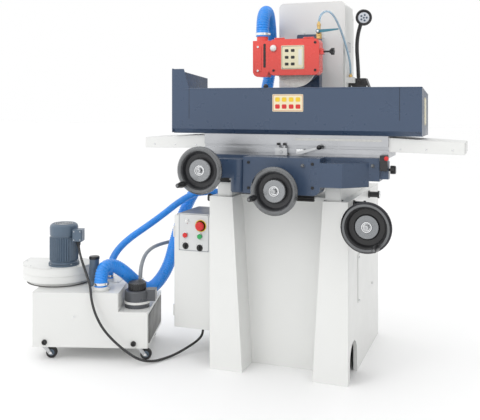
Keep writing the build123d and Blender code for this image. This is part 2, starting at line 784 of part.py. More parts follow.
def handwheel(centre, shaft_end, grip_turn, deep_dish, collar):
    """A handwheel with its index collar, shaft and the pin that its grip turns on."""
    section = Plane(origin=centre, x_dir=(1, 0, 0), z_dir=(0, 0, 1))
    centre_x, centre_y, centre_z = centre
    pin_at = (
        centre_x + grip_reach * cos(radians(grip_turn)),
        centre_z + grip_reach * sin(radians(grip_turn)),
    )
    with BuildPart() as wheel:
        with BuildSketch(section) as half:
            Polygon(*wheel_profile(deep_dish), align=None)
        revolve(half.sketch, axis=Axis(centre, (0, 1, 0)))
        disc(facing(centre_y + deep_dish + 2), 8, 9, at=(centre_x, centre_z))
        if collar > 0:
            disc(facing(centre_y + shaft_end), collar, shaft_end - collar_depth + 2,
                 at=(centre_x, centre_z))
        disc(facing(centre_y + 12), 8, 25, at=pin_at)
        disc(facing(centre_y), grip_pin_radius, grip_length + 10, at=pin_at)
    return wheel.part, pin_at


def grip(name, centre, pin_at):
    """A revolving grip that turns on the handwheel's pin."""
    pin_x, pin_z = pin_at
    grip_rear = centre[1] - 14
    with BuildPart() as handle:
        with BuildSketch(Plane(origin=(pin_x, grip_rear, pin_z), x_dir=(1, 0, 0), z_dir=(0, 0, 1))) as half:
            with BuildLine():
                Polyline((0, 0), (8, 0), (9, -4))
                Spline((9, -4), (13, -26), (11, -46), (9, -grip_length + 4))
                Polyline((9, -grip_length + 4), (6, -grip_length), (0, -grip_length), (0, 0))
            make_face()
        revolve(half.sketch, axis=Axis((pin_x, grip_rear, pin_z), (0, 1, 0)))
        disc(facing(grip_rear), grip_pin_radius + running_gap, grip_length - 3, at=pin_at,
             mode=Mode.SUBTRACT)
    save(handle.part, name)


traverse_centre = (traverse_x, traverse_y, traverse_z)
cross_centre = (cross_x, cross_y, cross_z)
vertical_centre = (vertical_x, vertical_y, vertical_z)
shaft_to_saddle = saddle_front + 18 - traverse_y
traverse_wheel, traverse_pin = handwheel(
    traverse_centre, shaft_to_saddle, 223, 0, feed_shaft_radius)
save(traverse_wheel, "traverse_handwheel")
grip("traverse_grip", traverse_centre, traverse_pin)
cross_wheel, cross_pin = handwheel(cross_centre, 0, 199, 0, 0)
save(cross_wheel, "cross_handwheel")
grip("cross_grip", cross_centre, cross_pin)
vertical_wheel, vertical_pin = handwheel(
    vertical_centre, -332 - vertical_y, 303, 12, feed_shaft_radius)
save(vertical_wheel, "vertical_handwheel")
grip("vertical_grip", vertical_centre, vertical_pin)

screw_end = nut_front + nut_length + 10
with BuildPart() as cross_feed_screw:
    disc(facing(screw_end), feed_shaft_radius, screw_end - cross_y - collar_depth, at=(cross_x, cross_z))
save(cross_feed_screw.part, "cross_feed_screw")

# ---------------------------------------------------------------- table group
with BuildPart() as table:
    prism(level(saddle_top), table_length, table_width, table_top - saddle_top,
          at=(table_centre, chuck_y))
    # clamping slot along the top and the dog slot along the front
    prism(level(table_top - 12), table_length, 14, 12, at=(table_centre, chuck_y),
          mode=Mode.SUBTRACT)
    prism(level(table_top - 24), table_length, 25, 12, at=(table_centre, chuck_y),
          mode=Mode.SUBTRACT)
    prism(level(950), table_length, 10, 12, at=(table_centre, table_front + 5),
          mode=Mode.SUBTRACT)
    # the lower ledge stands back from the front face
    prism(level(saddle_top), table_length, 8, 12, at=(table_centre, table_front + 4),
          mode=Mode.SUBTRACT)
save(table.part, "table")

chuck_x = table_centre
chuck_front = chuck_y - chuck_width / 2
lever_seat = (-62.0, table_top + chuck_height / 2 + 2.5)
lever_pin_radius = 6.0
lever_pin_depth = 18.0
lever_hub_radius = 13.0
lever_hub_depth = 19.0
lever_arm_radius = 5.0
lever_arm_length = 158.0
lever_ball_radius = 11.0
lever_arm_y = chuck_front - 13.0
chuck_rebate = 14.0
with BuildPart() as magnetic_chuck:
    prism(level(table_top), chuck_length, chuck_width, chuck_height, at=(chuck_x, chuck_y))
    fillet(magnetic_chuck.edges().filter_by(Axis.Z), 4)
    # clamping rebate at each end
    for side in (-1, 1):
        prism(level(table_top + chuck_rebate), chuck_rebate, chuck_width, chuck_rebate,
              at=(chuck_x + side * (chuck_length - chuck_rebate) / 2, chuck_y), mode=Mode.SUBTRACT)
    disc(facing(chuck_front + lever_pin_depth + 2), lever_pin_radius + running_gap,
         lever_pin_depth + 2, at=lever_seat, mode=Mode.SUBTRACT)
save(magnetic_chuck.part, "magnetic_chuck")

with BuildPart() as chuck_lever:
    disc(facing(chuck_front + lever_pin_depth), lever_pin_radius, 2 * lever_pin_depth, at=lever_seat)
    disc(facing(chuck_front - 2), lever_hub_radius, lever_hub_depth, at=lever_seat)
    disc(level(lever_seat[1]), lever_arm_radius, lever_arm_length, at=(lever_seat[0], lever_arm_y))
    with Locations((lever_seat[0], lever_arm_y, lever_seat[1] + lever_arm_length + 4)):
        Sphere(lever_ball_radius)
save(chuck_lever.part, "chuck_lever")

tray_end_rear = 40.0
tray_right_rear = -131.0
with BuildPart() as splash_tray:
    # front panel, its slanted foot and the lip that rests on the table
    with BuildSketch(across(tray_left)) as panel:
        with BuildLine():
            Polyline(
                (tray_front, tray_top),
                (tray_front, 1027),
                (-337, table_top),
                (-312, table_top),
                (-312, table_top + tray_sheet),
                (-336, table_top + tray_sheet),
                (tray_front + tray_sheet, 1028.5),
                (tray_front + tray_sheet, tray_top),
                close=True,
            )
        make_face()
    extrude(panel.sketch, amount=tray_right - tray_left)
    # tall left end with its slanted front flange
    slab(across(tray_left), [
        (tray_front, 1010),
        (tray_end_rear, 1010),
        (tray_end_rear, 1255),
        (tray_front, tray_left_top),
    ], tray_sheet)
    slab(facing(tray_front + tray_sheet), [
        (tray_left, 1027),
        (-398, 1027),
        (-398, tray_top),
        (-424, tray_left_top),
        (tray_left, tray_left_top),
    ], tray_sheet)
    # lower right end
    slab(across(tray_right - tray_sheet), [
        (tray_front, 1010),
        (tray_right_rear, 1010),
        (tray_right_rear, 1172),
        (tray_front, tray_top),
    ], tray_sheet)
    # floors that carry the ends out from the table
    prism(level(table_top), tray_right - tray_left, 24, tray_sheet,
          at=((tray_left + tray_right) / 2, -324))
    prism(level(table_top), tray_right - table_right + 30, 180, tray_sheet,
          at=((tray_right + table_right - 30) / 2, -223))
    prism(level(table_top), table_left - tray_left + 30, 181, tray_sheet,
          at=((tray_left + table_left + 30) / 2, tray_right_rear - 90.5))
    prism(level(table_top), 135, tray_end_rear - tray_right_rear, tray_sheet,
          at=(tray_left + 67.5, (tray_end_rear + tray_right_rear) / 2))
save(splash_tray.part, "splash_tray")

with BuildPart() as way_covers:
    for side, edge in ((-1, table_left), (1, table_right)):
        outer = edge + side * way_cover_length
        with BuildSketch(facing(way_cover_front + way_cover_width)) as side_view:
            Polygon((edge, 943), (edge, 1000), (outer, 985), (outer, 938), align=None)
        extrude(side_view.sketch, amount=way_cover_width)
        with BuildSketch(facing(way_cover_front + way_cover_width - 2)) as inside:
            Polygon((edge - side * 1, 930), (edge - side * 1, 997.5), (outer - side * 3, 982.5),
                    (outer - side * 3, 930), align=None)
        extrude(inside.sketch, amount=way_cover_width - 4, mode=Mode.SUBTRACT)
save(way_covers.part, "way_covers")

with BuildPart() as trip_dogs:
    prism(facing(table_front), 52, 32, 18, at=(14, 936))
    fillet(trip_dogs.edges().filter_by(Axis.Y), 3)
    prism(facing(table_front), 30, 22, 14, at=(95, 938))
    slab(facing(table_front - 14), [(84, 926), (98, 926), (172, 950), (168, 958), (84, 938)], 8)
    for dog_x in (-1.0, 26.0):
        disc(level(952), 5, 10, at=(dog_x, table_front - 9))
save(trip_dogs.part, "trip_dogs")

# ---------------------------------------------------------------- wheelhead group
slide_middle = (slide_top + slide_bottom) / 2
with BuildPart() as wheelhead:
    prism(facing(slide_rear), slide_width, slide_top - slide_bottom, slide_thickness,
          at=(head_x, slide_middle))
    fillet(wheelhead.edges().filter_by(Axis.Y).sort_by(Axis.Z)[-2:], 8)
    disc(facing(slide_front + 4), quill_radius, slide_front + 4 - guard_rear,
         at=(head_x, spindle_z))
    disc(facing(motor_front), neck_radius, motor_front - slide_rear, at=(head_x, spindle_z))
    disc(facing(motor_front), shaft_radius + running_gap, motor_front - guard_rear,
         at=(head_x, spindle_z), mode=Mode.SUBTRACT)
save(wheelhead.part, "wheelhead")

with BuildPart() as head_cover:
    prism(facing(slide_rear - 2), white_cover_width, slide_top - slide_bottom,
          white_cover_thickness,
          at=(head_x + slide_width / 2 + white_cover_width / 2, slide_middle - 1))
save(head_cover.part, "head_cover")

with BuildPart() as elevating_screw:
    disc(level(560), feed_shaft_radius, slide_bottom - 560, at=(head_x, screw_y))
save(elevating_screw.part, "elevating_screw")

with BuildPart() as elevating_nut:
    disc(level(base_height), 34, 30, at=(head_x, screw_y))
    disc(level(base_height + 12), 42, 12, at=(head_x, screw_y))
    disc(level(base_height), feed_shaft_radius + running_gap, 30, at=(head_x, screw_y),
         mode=Mode.SUBTRACT)
save(elevating_nut.part, "elevating_nut")

wheel_front = spindle_y - wheel_thickness / 2
wheel_back = spindle_y + wheel_thickness / 2
shaft_end = motor_front + motor_length - 18
with BuildPart() as spindle:
    disc(facing(shaft_end), shaft_radius, shaft_end - wheel_back - flange_thickness,
         at=(head_x, spindle_z))
    disc(facing(wheel_back + flange_thickness), flange_radius, flange_thickness,
         at=(head_x, spindle_z))
    disc(facing(wheel_back), wheel_bore - running_gap, wheel_thickness, at=(head_x, spindle_z))
    disc(facing(wheel_front), flange_radius, flange_thickness, at=(head_x, spindle_z))
    with BuildSketch(facing(wheel_front - flange_thickness)) as nose_nut:
        with Locations((head_x, spindle_z)):
            RegularPolygon(17, 6)
    extrude(nose_nut.sketch, amount=8)
save(spindle.part, "spindle")

with BuildPart() as grinding_wheel:
    disc(facing(wheel_back), wheel_radius, wheel_thickness, at=(head_x, spindle_z))
    disc(facing(wheel_back), wheel_bore, wheel_thickness, at=(head_x, spindle_z),
         mode=Mode.SUBTRACT)
save(grinding_wheel.part, "grinding_wheel")

with BuildPart() as spindle_motor:
    disc(facing(motor_front + motor_length), motor_radius, motor_length, at=(head_x, spindle_z))
    disc(facing(shaft_end + 2), shaft_radius + running_gap, 140, at=(head_x, spindle_z),
         mode=Mode.SUBTRACT)
save(spindle_motor.part, "spindle_motor")

guard_height = guard_top - guard_bottom
guard_middle = (guard_top + guard_bottom) / 2
hinge_at = (guard_front - 2, guard_top + 3.5)
hinge_radius = 3.5
hinge_places = (guard_centre - 67.0, guard_centre + 67.0)
with BuildPart() as wheel_guard:
    with BuildSketch(facing(guard_rear)) as guard_outline:
        with Locations((guard_centre, guard_middle)):
            RectangleRounded(guard_width, guard_height, guard_corner)
    extrude(guard_outline.sketch, amount=guard_depth)
    with BuildSketch(facing(guard_rear - guard_wall)) as guard_hollow:
        with Locations((guard_centre, guard_middle)):
            RectangleRounded(guard_width - 2 * guard_wall, guard_height - 2 * guard_wall,
                             guard_corner - guard_wall)
    extrude(guard_hollow.sketch, amount=guard_depth, mode=Mode.SUBTRACT)
    prism(level(guard_bottom), guard_width - 2 * guard_corner, guard_depth - guard_wall, guard_wall,
          at=(guard_centre, guard_front + (guard_depth - guard_wall) / 2), mode=Mode.SUBTRACT)
    disc(facing(guard_rear), shaft_radius + 2, guard_wall, at=(head_x, spindle_z),
         mode=Mode.SUBTRACT)
    # dust duct on the left, with the spigot that its hose sits on
    with BuildSketch(facing(guard_rear)) as duct_outline:
        with BuildLine():
            Polyline(
                (guard_left + 1, duct_bottom + 30),
                (guard_left + 1, duct_top),
                (duct_right - duct_width, duct_top),
                (duct_right - duct_width, duct_bottom + 26),
            )
            RadiusArc((duct_right - duct_width, duct_bottom + 26),
                      (duct_right - duct_width + 26, duct_bottom), -26)
            Polyline(
                (duct_right - duct_width + 26, duct_bottom),
                (duct_right - 8, duct_bottom),
                (guard_left + 1, duct_bottom + 30),
            )
        make_face()
    extrude(duct_outline.sketch, amount=guard_depth)
    prism(facing(guard_rear - guard_wall), duct_width - 8, duct_top - duct_bottom - 40,
          guard_depth - 2 * guard_wall, at=(duct_centre + 2, (duct_top + duct_bottom) / 2 + 14),
          mode=Mode.SUBTRACT)
    disc(level(duct_top), 26, duct_spigot_height, at=(duct_centre, guard_rear - guard_depth / 2))
    disc(level(duct_top - 8), 23, duct_spigot_height + 8,
         at=(duct_centre, guard_rear - guard_depth / 2), mode=Mode.SUBTRACT)
    # fixed hinge lugs of the front cover
    for lug_x in hinge_places:
        prism(level(guard_top - 1), 12, 16, 5, at=(lug_x, guard_front + 8))
        disc(across(lug_x - 6), hinge_radius - slide_gap, 12, at=hinge_at)
    # clamping lug on the right
    prism(across(guard_right - 1), 28, 26, 16, at=(guard_front + 20, 1366))
    disc(across(guard_right - 8), 4 + running_gap, 24, at=(guard_front + 20, 1366),
         mode=Mode.SUBTRACT)
save(wheel_guard.part, "wheel_guard")

with BuildPart() as guard_cover:
    with BuildSketch(facing(guard_front - slide_gap)) as cover_outline:
        with Locations((guard_centre, guard_middle)):
            RectangleRounded(guard_width, guard_height, guard_corner)
    extrude(cover_outline.sketch, amount=guard_cover_thickness)
    for lug_x in hinge_places:
        for side in (-1, 1):
            leaf_x = lug_x + side * 15
            prism(facing(guard_front - slide_gap), 16, 8, guard_cover_thickness,
                  at=(leaf_x, guard_top))
            disc(across(leaf_x - 8), hinge_radius, 16, at=hinge_at)
    disc(facing(guard_front - slide_gap - guard_cover_thickness), 10, 5,
         at=(guard_left + 20, 1384))
    prism(facing(guard_front - slide_gap - guard_cover_thickness), 100, 100, 1,
          at=(guard_centre - 6, 1342))
save(guard_cover.part, "guard_cover")

with BuildPart() as star_knob:
    disc(across(guard_right - 6), 4, 56, at=(guard_front + 20, 1366))
    disc(across(guard_right + 42), 9, 8, at=(guard_front + 20, 1366))
    with BuildSketch(across(guard_right + 48)) as star:
        with Locations((guard_front + 20, 1366)):
            Circle(11)
            with PolarLocations(11, 5):
                Circle(5)
    extrude(star.sketch, amount=14)
save(star_knob.part, "star_knob")

valve_at = (112.0, -90.0)
valve_z = guard_top + 33
with BuildPart() as coolant_valve:
    with BuildSketch(level(guard_top)) as valve_foot:
        with Locations(valve_at):
            RegularPolygon(13, 6)
    extrude(valve_foot.sketch, amount=12)
    disc(level(guard_top + 12), 8, 44, at=valve_at)
    prism(level(guard_top + 24), 20, 20, 18, at=valve_at)
    disc(facing(valve_at[1] - 10), 5, 14, at=(valve_at[0], valve_z))
save(coolant_valve.part, "coolant_valve")

with BuildPart() as valve_lever:
    lever_rear = valve_at[1] - 13
    disc(facing(lever_rear), 9, 8, at=(valve_at[0], valve_z))
    slab(facing(lever_rear), [
        (valve_at[0], valve_z - 7),
        (valve_at[0] + 22, valve_z - 6),
        (valve_at[0] + 92, valve_z + 3),
        (valve_at[0] + 92, valve_z + 9),
        (valve_at[0], valve_z + 7),
    ], 5)
    disc(facing(lever_rear), 5 + running_gap, 8, at=(valve_at[0], valve_z), mode=Mode.SUBTRACT)
save(valve_lever.part, "valve_lever")

# ---------------------------------------------------------------- hoses and cables
duct_mouth_y = guard_rear - guard_depth / 2
hose_joint = Vector(-250, 282, 1210)
hose_joint_run = Vector(-30, 22, -112)
upper_dust_route = [
    (duct_centre, duct_mouth_y, duct_top + duct_spigot_height),
    (duct_centre, duct_mouth_y, 1500),
    (duct_centre - 6, duct_mouth_y + 46, 1556),
    (duct_centre - 14, 30, 1570),
    (-184, 118, 1536),
    (-202, 200, 1440),
    tuple(hose_joint - hose_joint_run),
    tuple(hose_joint),
]
tube("dust_hose_upper", upper_dust_route, dust_hose_diameter)

lower_dust_route = [
    tuple(hose_joint),
    tuple(hose_joint + hose_joint_run),
    (-348, 306, 992),
    (-430, 285, 890),
    (-530, 250, 790),
    (-606, 195, 700),
    (-642, 120, 585),
    (-652, 45, 455),
    (-650, -35, 345),
    (-672, -110, 275),
    (-694, -176, 256),
    (-718, -240, 302),
    (-752, -296, 366),
    (-784, -350, 408),
    (*unit_point(*collar_at, 0)[:2], 396),
    unit_point(*collar_at, tank_top + 18),
]
tube("dust_hose_lower", lower_dust_route, dust_hose_diameter)

return_mouth = unit_point(*return_at, tank_top + 18)
return_route = [
    (-base_side - 25, 60, 700),
    (-400, 60, 700),
    (-482, 64, 702),
    (-565, 68, 688),
    (-645, 58, 640),
    (-717, 28, 577),
    (-782, -28, 522),
    (-828, -100, 480),
    (-852, -175, 438),
    (-856, -232, 392),
    (*return_mouth[:2], 352),
    return_mouth,
]
tube("return_hose", return_route, return_hose_diameter)

pump_mouth = unit_point(*nipple_at, step_top + 105)
coolant_route = [
    pump_mouth,
    (*pump_mouth[:2], 372),
    (-702, -205, 408),
    (-730, -112, 420),
    (-740, -8, 430),
    (-700, 92, 438),
    (-605, 138, 444),
    (-490, 132, 448),
    (-392, 110, 450),
    (-base_side - 10, 110, 450),
]
tube("coolant_supply_hose", coolant_route, coolant_hose_diameter)

loop_route = [
    (valve_at[0], valve_at[1], guard_top + 56),
    (*valve_at, 1512),
    (122, -66, 1542),
    (138, -20, 1556),
    (152, 34, 1540),
    (165, 90, 1496),
    (178, 150, 1430),
    (188, 205, 1355),
    (head_x + column_side + 16, 250, 1308),
    (head_x + column_side + 16, 250, 1262),
]
tube("coolant_loop_hose", loop_route, loop_hose_diameter)

cable_start = unit_point(*box_at, 506)
cable_route = [
    cable_start,
    (*cable_start[:2], 472),
    (-918, -392, 428),
    (-888, -406, 378),
    (-858, -424, 336),
    (-828, -462, 320),
    (-806, -492, 284),
    (-782, -500, 222),
    (-748, -492, 158),
    (-700, -480, 106),
    (-646, -464, 60),
    (-596, -440, 24),
    (-556, -398, 9),
    (-526, -340, 7),
    (-496, -282, 12),
    (-462, -230, 30),
    (-430, -192, 52),
    (gland_x, gland_y, 78),
    (gland_x, gland_y, gland_end),
]
tube("motor_cable", cable_route, motor_cable_diameter)
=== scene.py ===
"""A hand surface grinder with its dust extractor and coolant unit, dressed for a studio.

Metres; +X is the operator's right, +Y is away from the operator and +Z is up.
"""
import math

import bpy
import numpy as np
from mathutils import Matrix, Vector


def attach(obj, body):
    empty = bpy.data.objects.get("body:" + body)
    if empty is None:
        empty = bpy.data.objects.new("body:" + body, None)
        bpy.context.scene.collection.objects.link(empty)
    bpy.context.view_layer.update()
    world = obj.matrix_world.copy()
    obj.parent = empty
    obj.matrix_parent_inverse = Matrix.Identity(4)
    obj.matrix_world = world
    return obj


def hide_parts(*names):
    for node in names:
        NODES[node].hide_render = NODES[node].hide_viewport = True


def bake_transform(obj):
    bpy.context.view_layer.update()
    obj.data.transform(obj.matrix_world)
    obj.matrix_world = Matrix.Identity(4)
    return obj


bl_info = {"name": "Surface grinder", "version": (1, 0, 0), "blender": (4, 5, 0),
           "location": "3D View > Sidebar > Grinder",
           "description": "Finishes, fittings and hoses of a hand surface grinder", "category": "Add Mesh"}

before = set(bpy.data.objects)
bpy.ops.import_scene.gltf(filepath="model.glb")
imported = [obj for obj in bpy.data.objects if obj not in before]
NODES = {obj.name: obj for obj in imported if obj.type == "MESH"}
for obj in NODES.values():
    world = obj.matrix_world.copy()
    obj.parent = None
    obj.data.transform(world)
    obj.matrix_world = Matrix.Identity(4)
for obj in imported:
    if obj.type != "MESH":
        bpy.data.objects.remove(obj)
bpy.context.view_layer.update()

X, Y, Z = np.eye(3)
FRONT = -Y
# The extractor unit stands turned on the floor, so it has directions of its own.
UNIT_TURN = math.radians(17.0)
UNIT_ORIGIN = np.array([-1.074, -0.545, 0.0])
UNIT_X = np.array([math.cos(UNIT_TURN), math.sin(UNIT_TURN), 0.0])
UNIT_Y = np.array([-math.sin(UNIT_TURN), math.cos(UNIT_TURN), 0.0])

TRAVERSE_HUB = np.array([-0.264, -0.56, 0.867])
CROSS_HUB = np.array([0.034, -0.51, 0.79])
VERTICAL_HUB = np.array([0.402, -0.53, 0.671])
HEAD_X, SPINDLE_Z = 0.005, 1.3
AXLE_Z = 0.025


def unit(x, y, z):
    """A point of the extractor unit, from its own corner, in the machine's frame."""
    return UNIT_ORIGIN + x * UNIT_X + y * UNIT_Y + z * Z


# ---------------------------------------------------------------- surfaces
def skin(name, grid, body, look, turn_over=False, sharp=32.0, ring=False):
    """One mesh from a grid of points, closed round its second direction.

    grid[i, j] is the point at step i along the piece and step j round it. Quads join step i to
    i + 1 and j to j + 1. A ring joins its last step to its first; any other piece is closed at
    each end by a fan to the middle of its ring. look is a finish, by name or as a material, and
    a slot name, which is not used.
    """
    material, slot = look
    rows, around, _ = grid.shape
    i, j = np.meshgrid(np.arange(rows if ring else rows - 1), np.arange(around), indexing="ij")
    here, after = i * around, (i + 1) % rows * around
    k = (j + 1) % around
    faces = np.stack([here + j, here + k, after + k, after + j], -1).reshape(-1, 4).tolist()
    points = grid.reshape(-1, 3)
    if not ring:
        points = np.concatenate([points, grid[:1].mean(1), grid[-1:].mean(1)])
        step = np.arange(around)
        follow = (step + 1) % around
        base = (rows - 1) * around
        faces += np.stack([follow, step, np.full(around, rows * around)], -1).tolist()
        faces += np.stack([base + step, base + follow, np.full(around, rows * around + 1)], -1).tolist()
    if turn_over:
        faces = [face[::-1] for face in faces]
    mesh = bpy.data.meshes.new(name)
    mesh.from_pydata(points.tolist(), [], faces)
    mesh.update()
    mesh.shade_smooth()
    mesh.set_sharp_from_angle(angle=math.radians(sharp))
    mesh.materials.append(finish(material) if isinstance(material, str) else material)
    piece = bpy.data.objects.new(name, mesh)
    bpy.context.scene.collection.objects.link(piece)
    if body:
        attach(piece, body)
    return piece


def basis(axis):
    """Two unit directions square to an axis, with axis x first = second."""
    axis = np.asarray(axis, float) / np.linalg.norm(axis)
    helper = Z if abs(axis[2]) < 0.9 else X
    first = np.cross(helper, axis)
    first /= np.linalg.norm(first)
    return axis, first, np.cross(axis, first)


def turned(name, centre, axis, profile, body, look, around=48, lobes=0, depth=0.0,
           ring=False):
    """A turned piece: P(h, t) = centre + h axis + r(h) (cos t first + sin t second).

    profile holds (r, h) from the back to the front. lobes cut r by depth (1 - cos) / 2 round
    it, which makes flutes, fins and star grips. A ring is open in the middle.
    """
    axis, first, second = basis(axis)
    r, h = np.array(profile, float).T
    t = np.linspace(0.0, 2.0 * math.pi, around, endpoint=False)
    radius = r[:, None] * np.ones(around)
    if lobes:
        radius = radius - depth * (0.5 - 0.5 * np.cos(lobes * t))[None, :] * (radius > 2 * depth)
    grid = (np.asarray(centre, float) + h[:, None, None] * axis + radius[...,
            None] * (np.cos(t)[:, None] * first + np.sin(t)[:, None] * second))
    return skin(name, grid, body, look, ring=ring)


def plate(name, centre, out, wide, size, body, look, corner=0.003, bevel=0.0006,
          dish=0.0):
    """A rounded plate: a squircle-cornered outline carried from its back to a bevelled front.

    The outline is c + s (|cos t|^e, |sin t|^e) with each corner an arc of radius corner; rows
    go back edge, front edge, bevelled edge, then inwards to the middle, lowered by dish.
    """
    out = np.asarray(out, float)
    wide = np.asarray(wide, float)
    tall = np.cross(out, wide)
    width, height, thick = size
    corner = min(corner, 0.4999 * width, 0.4999 * height)
    per = 7
    quarter = np.arange(4 * per) // per
    t = np.linspace(0, math.pi / 2, per)[np.arange(4 * per) % per] + quarter * math.pi / 2
    sign_w = np.array([1, -1, -1, 1])[quarter]
    sign_h = np.array([1, 1, -1, -1])[quarter]

    def outline(inset):
        radius = max(corner - inset, 1e-5)
        w = sign_w * (width / 2 - corner) + radius * np.cos(t)
        h = sign_h * (height / 2 - corner) + radius * np.sin(t)
        return w, h

    rows = []
    for inset, level, scale in ((0, 0, 1), (0, thick - bevel, 1), (bevel, thick, 1),
                                (4 * bevel, thick, 1), (4 * bevel + 1e-5, thick - dish, 1),
                                (4 * bevel, thick - dish, 0.4)):
        w, h = outline(inset)
        rows.append(np.asarray(centre, float) + level * out + (w * scale)[:, None] * wide + (h * scale)[:,
                None] * tall)
    return skin(name, np.stack(rows), body, look)


def swept(name, path, radii, body, look, around=32):
    """A tube along a path: P(s, t) = path(s) + r(s) (cos t first(s) + sin t second(s)).

    first is the tangent crossed with the one direction that the path runs least along, so the
    rings never twist. radii is one radius for each step of the path.
    """
    path = np.asarray(path, float)
    tangent = np.gradient(path, axis=0)
    tangent /= np.linalg.norm(tangent, axis=1, keepdims=True)
    least = np.linalg.svd(tangent, full_matrices=False)[2][2]
    first = np.cross(least, tangent)
    first /= np.linalg.norm(first, axis=1, keepdims=True)
    second = np.cross(tangent, first)
    t = np.linspace(0.0, 2.0 * math.pi, around, endpoint=False)
    grid = path[:, None, :] + np.asarray(radii)[:, None,
                                                None] * (np.cos(t)[None, :, None] * first[:, None,
            :] + np.sin(t)[None, :, None] * second[:, None, :])
    return skin(name, grid, body, look, sharp=75.0)


def resampled(path, spacing):
    """Points along a path at even arc length."""
    steps = np.linalg.norm(np.diff(path, axis=0), axis=1)
    along = np.concatenate([[0.0], np.cumsum(steps)])
    count = max(int(along[-1] / spacing), 8)
    at = np.linspace(0.0, along[-1], count + 1)
    return np.stack([np.interp(at, along, path[:, axis]) for axis in range(3)], -1), at


def smooth_line(name, route):
    """The NURBS line whose control points are the route's, read as points."""
    curve = bpy.data.curves.new(name, "CURVE")
    curve.dimensions = "3D"
    spline = curve.splines.new("NURBS")
    spline.points.add(len(route) - 1)
    spline.points.foreach_set("co", np.c_[np.array(route), np.ones(len(route))].ravel())
    spline.order_u = 3
    spline.use_endpoint_u = True
    spline.resolution_u = 24
    holder = bpy.data.objects.new(name, curve)
    mesh = bpy.data.meshes.new_from_object(holder)
    line = np.zeros(len(mesh.vertices) * 3)
    mesh.vertices.foreach_get("co", line)
    bpy.data.objects.remove(holder)
    bpy.data.meshes.remove(mesh)
    return line.reshape(-1, 3)


def bolt(name, at, out, radius, body, look, height=None):
    """A round socket-headed screw: a turned head with its recess in the middle."""
    height = height or radius * 0.7
    return turned(name, at, out, [(radius, 0), (radius, height * 0.85), (radius * 0.93, height),
                                  (radius * 0.55, height), (radius * 0.5, height * 0.45),
                                  (radius * 0.1, height * 0.4)], body, look, around=24)


def bolts(name, places, out, radius, body, look, height=None):
    """Screws numbered from 0, one at each place."""
    for k, at in enumerate(places):
        bolt(f"{name}_{k}", at, out, radius, body, look, height)


def lattice(xs, y, zs):
    """Points of one depth: every x at the first height, then every x at the next."""
    return [(x, y, z) for z in zs for x in xs]


# ---------------------------------------------------------------- finishes
class Finish:
    """One material under construction: its nodes, its shader and its Object coordinates."""

    def __init__(self, name, colour, roughness, metallic=0.0):
        self.material = bpy.data.materials.new(name)
        self.material.use_nodes = True
        self.nodes = self.material.node_tree.nodes
        self.links = self.material.node_tree.links
        self.shader = self.nodes["Principled BSDF"]
        self.shader.inputs["Base Color"].default_value = (*colour, 1.0)
        self.shader.inputs["Roughness"].default_value = roughness
        self.shader.inputs["Metallic"].default_value = metallic
        self.place = self.nodes.new("ShaderNodeTexCoord").outputs["Object"]
        self.normal = None

    def node(self, kind, **values):
        """A node with its properties set, or its sockets when the name has a leading capital."""
        node = self.nodes.new("ShaderNode" + kind)
        for key, value in values.items():
            if key in node.inputs:
                node.inputs[key].default_value = value
            else:
                setattr(node, key, value)
        return node

    def join(self, source, socket):
        self.links.new(source, socket)

    def stretched(self, scale, centre=(0.0, 0.0, 0.0)):
        """Object coordinates times scale, measured from a centre."""
        mapping = self.node("Mapping")
        mapping.inputs["Scale"].default_value = scale
        mapping.inputs["Location"].default_value = [-c * s for c, s in zip(centre, scale)]
        self.join(self.place, mapping.inputs["Vector"])
        return mapping.outputs["Vector"]

    def grain(self, scale, detail=4.0, where=None, roughness=0.55):
        """Fractal noise from 0 to 1."""
        noise = self.node("TexNoise", Scale=scale, Detail=detail, Roughness=roughness)
        self.join(where or self.place, noise.inputs["Vector"])
        return noise.outputs["Fac"]

    def spread(self, source, low, high, out_low=0.0, out_high=1.0):
        """Source from low..high to out_low..out_high, held at both ends."""
        node = self.node("MapRange")
        for key, value in zip(("From Min", "From Max", "To Min", "To Max"),
                              (low, high, out_low, out_high)):
            node.inputs[key].default_value = value
        self.join(source, node.inputs["Value"])
        return node.outputs["Result"]

    def math(self, operation, first, second=0.0):
        node = self.node("Math", operation=operation)
        for value, socket in ((first, node.inputs[0]), (second, node.inputs[1])):
            if isinstance(value, (int, float)):
                socket.default_value = value
            else:
                self.join(value, socket)
        return node.outputs[0]

    def mix(self, factor, first, second):
        """Colour first at 0 and second at 1; each is a colour or an output."""
        node = self.node("Mix", data_type="RGBA")
        self.join(factor, node.inputs[0])
        for value, socket in ((first, node.inputs[6]), (second, node.inputs[7])):
            if isinstance(value, tuple):
                socket.default_value = (*value, 1.0)
            else:
                self.join(value, socket)
        return node.outputs[2]

    def colour(self, source):
        self.join(source, self.shader.inputs["Base Color"])

    def rough(self, source):
        self.join(source, self.shader.inputs["Roughness"])

    def round_edges(self, radius):
        """Softens the edges of the solid in the shading by that radius."""
        self.normal = self.node("Bevel", samples=4, Radius=radius).outputs["Normal"]

    def raise_by(self, height, distance, strength=0.6):
        """Adds a bump of that height in metres."""
        bump = self.node("Bump", Strength=strength, Distance=distance)
        self.join(height, bump.inputs["Height"])
        if self.normal:
            self.join(self.normal, bump.inputs["Normal"])
        self.normal = bump.outputs["Normal"]

    def edge_mask(self, radius):
        """1 on the solid's edges and 0 on its faces, from how far the rounded normal leans."""
        bevel = self.node("Bevel", samples=4, Radius=radius)
        geometry = self.node("NewGeometry")
        dot = self.node("VectorMath", operation="DOT_PRODUCT")
        self.join(bevel.outputs["Normal"], dot.inputs[0])
        self.join(geometry.outputs["Normal"], dot.inputs[1])
        return self.spread(dot.outputs["Value"], 0.985, 0.8)

    def done(self):
        if self.normal:
            self.join(self.normal, self.shader.inputs["Normal"])
        return self.material


def shade(colour, amount):
    """The colour times amount, held under 1."""
    return tuple(min(c * amount, 1.0) for c in colour)


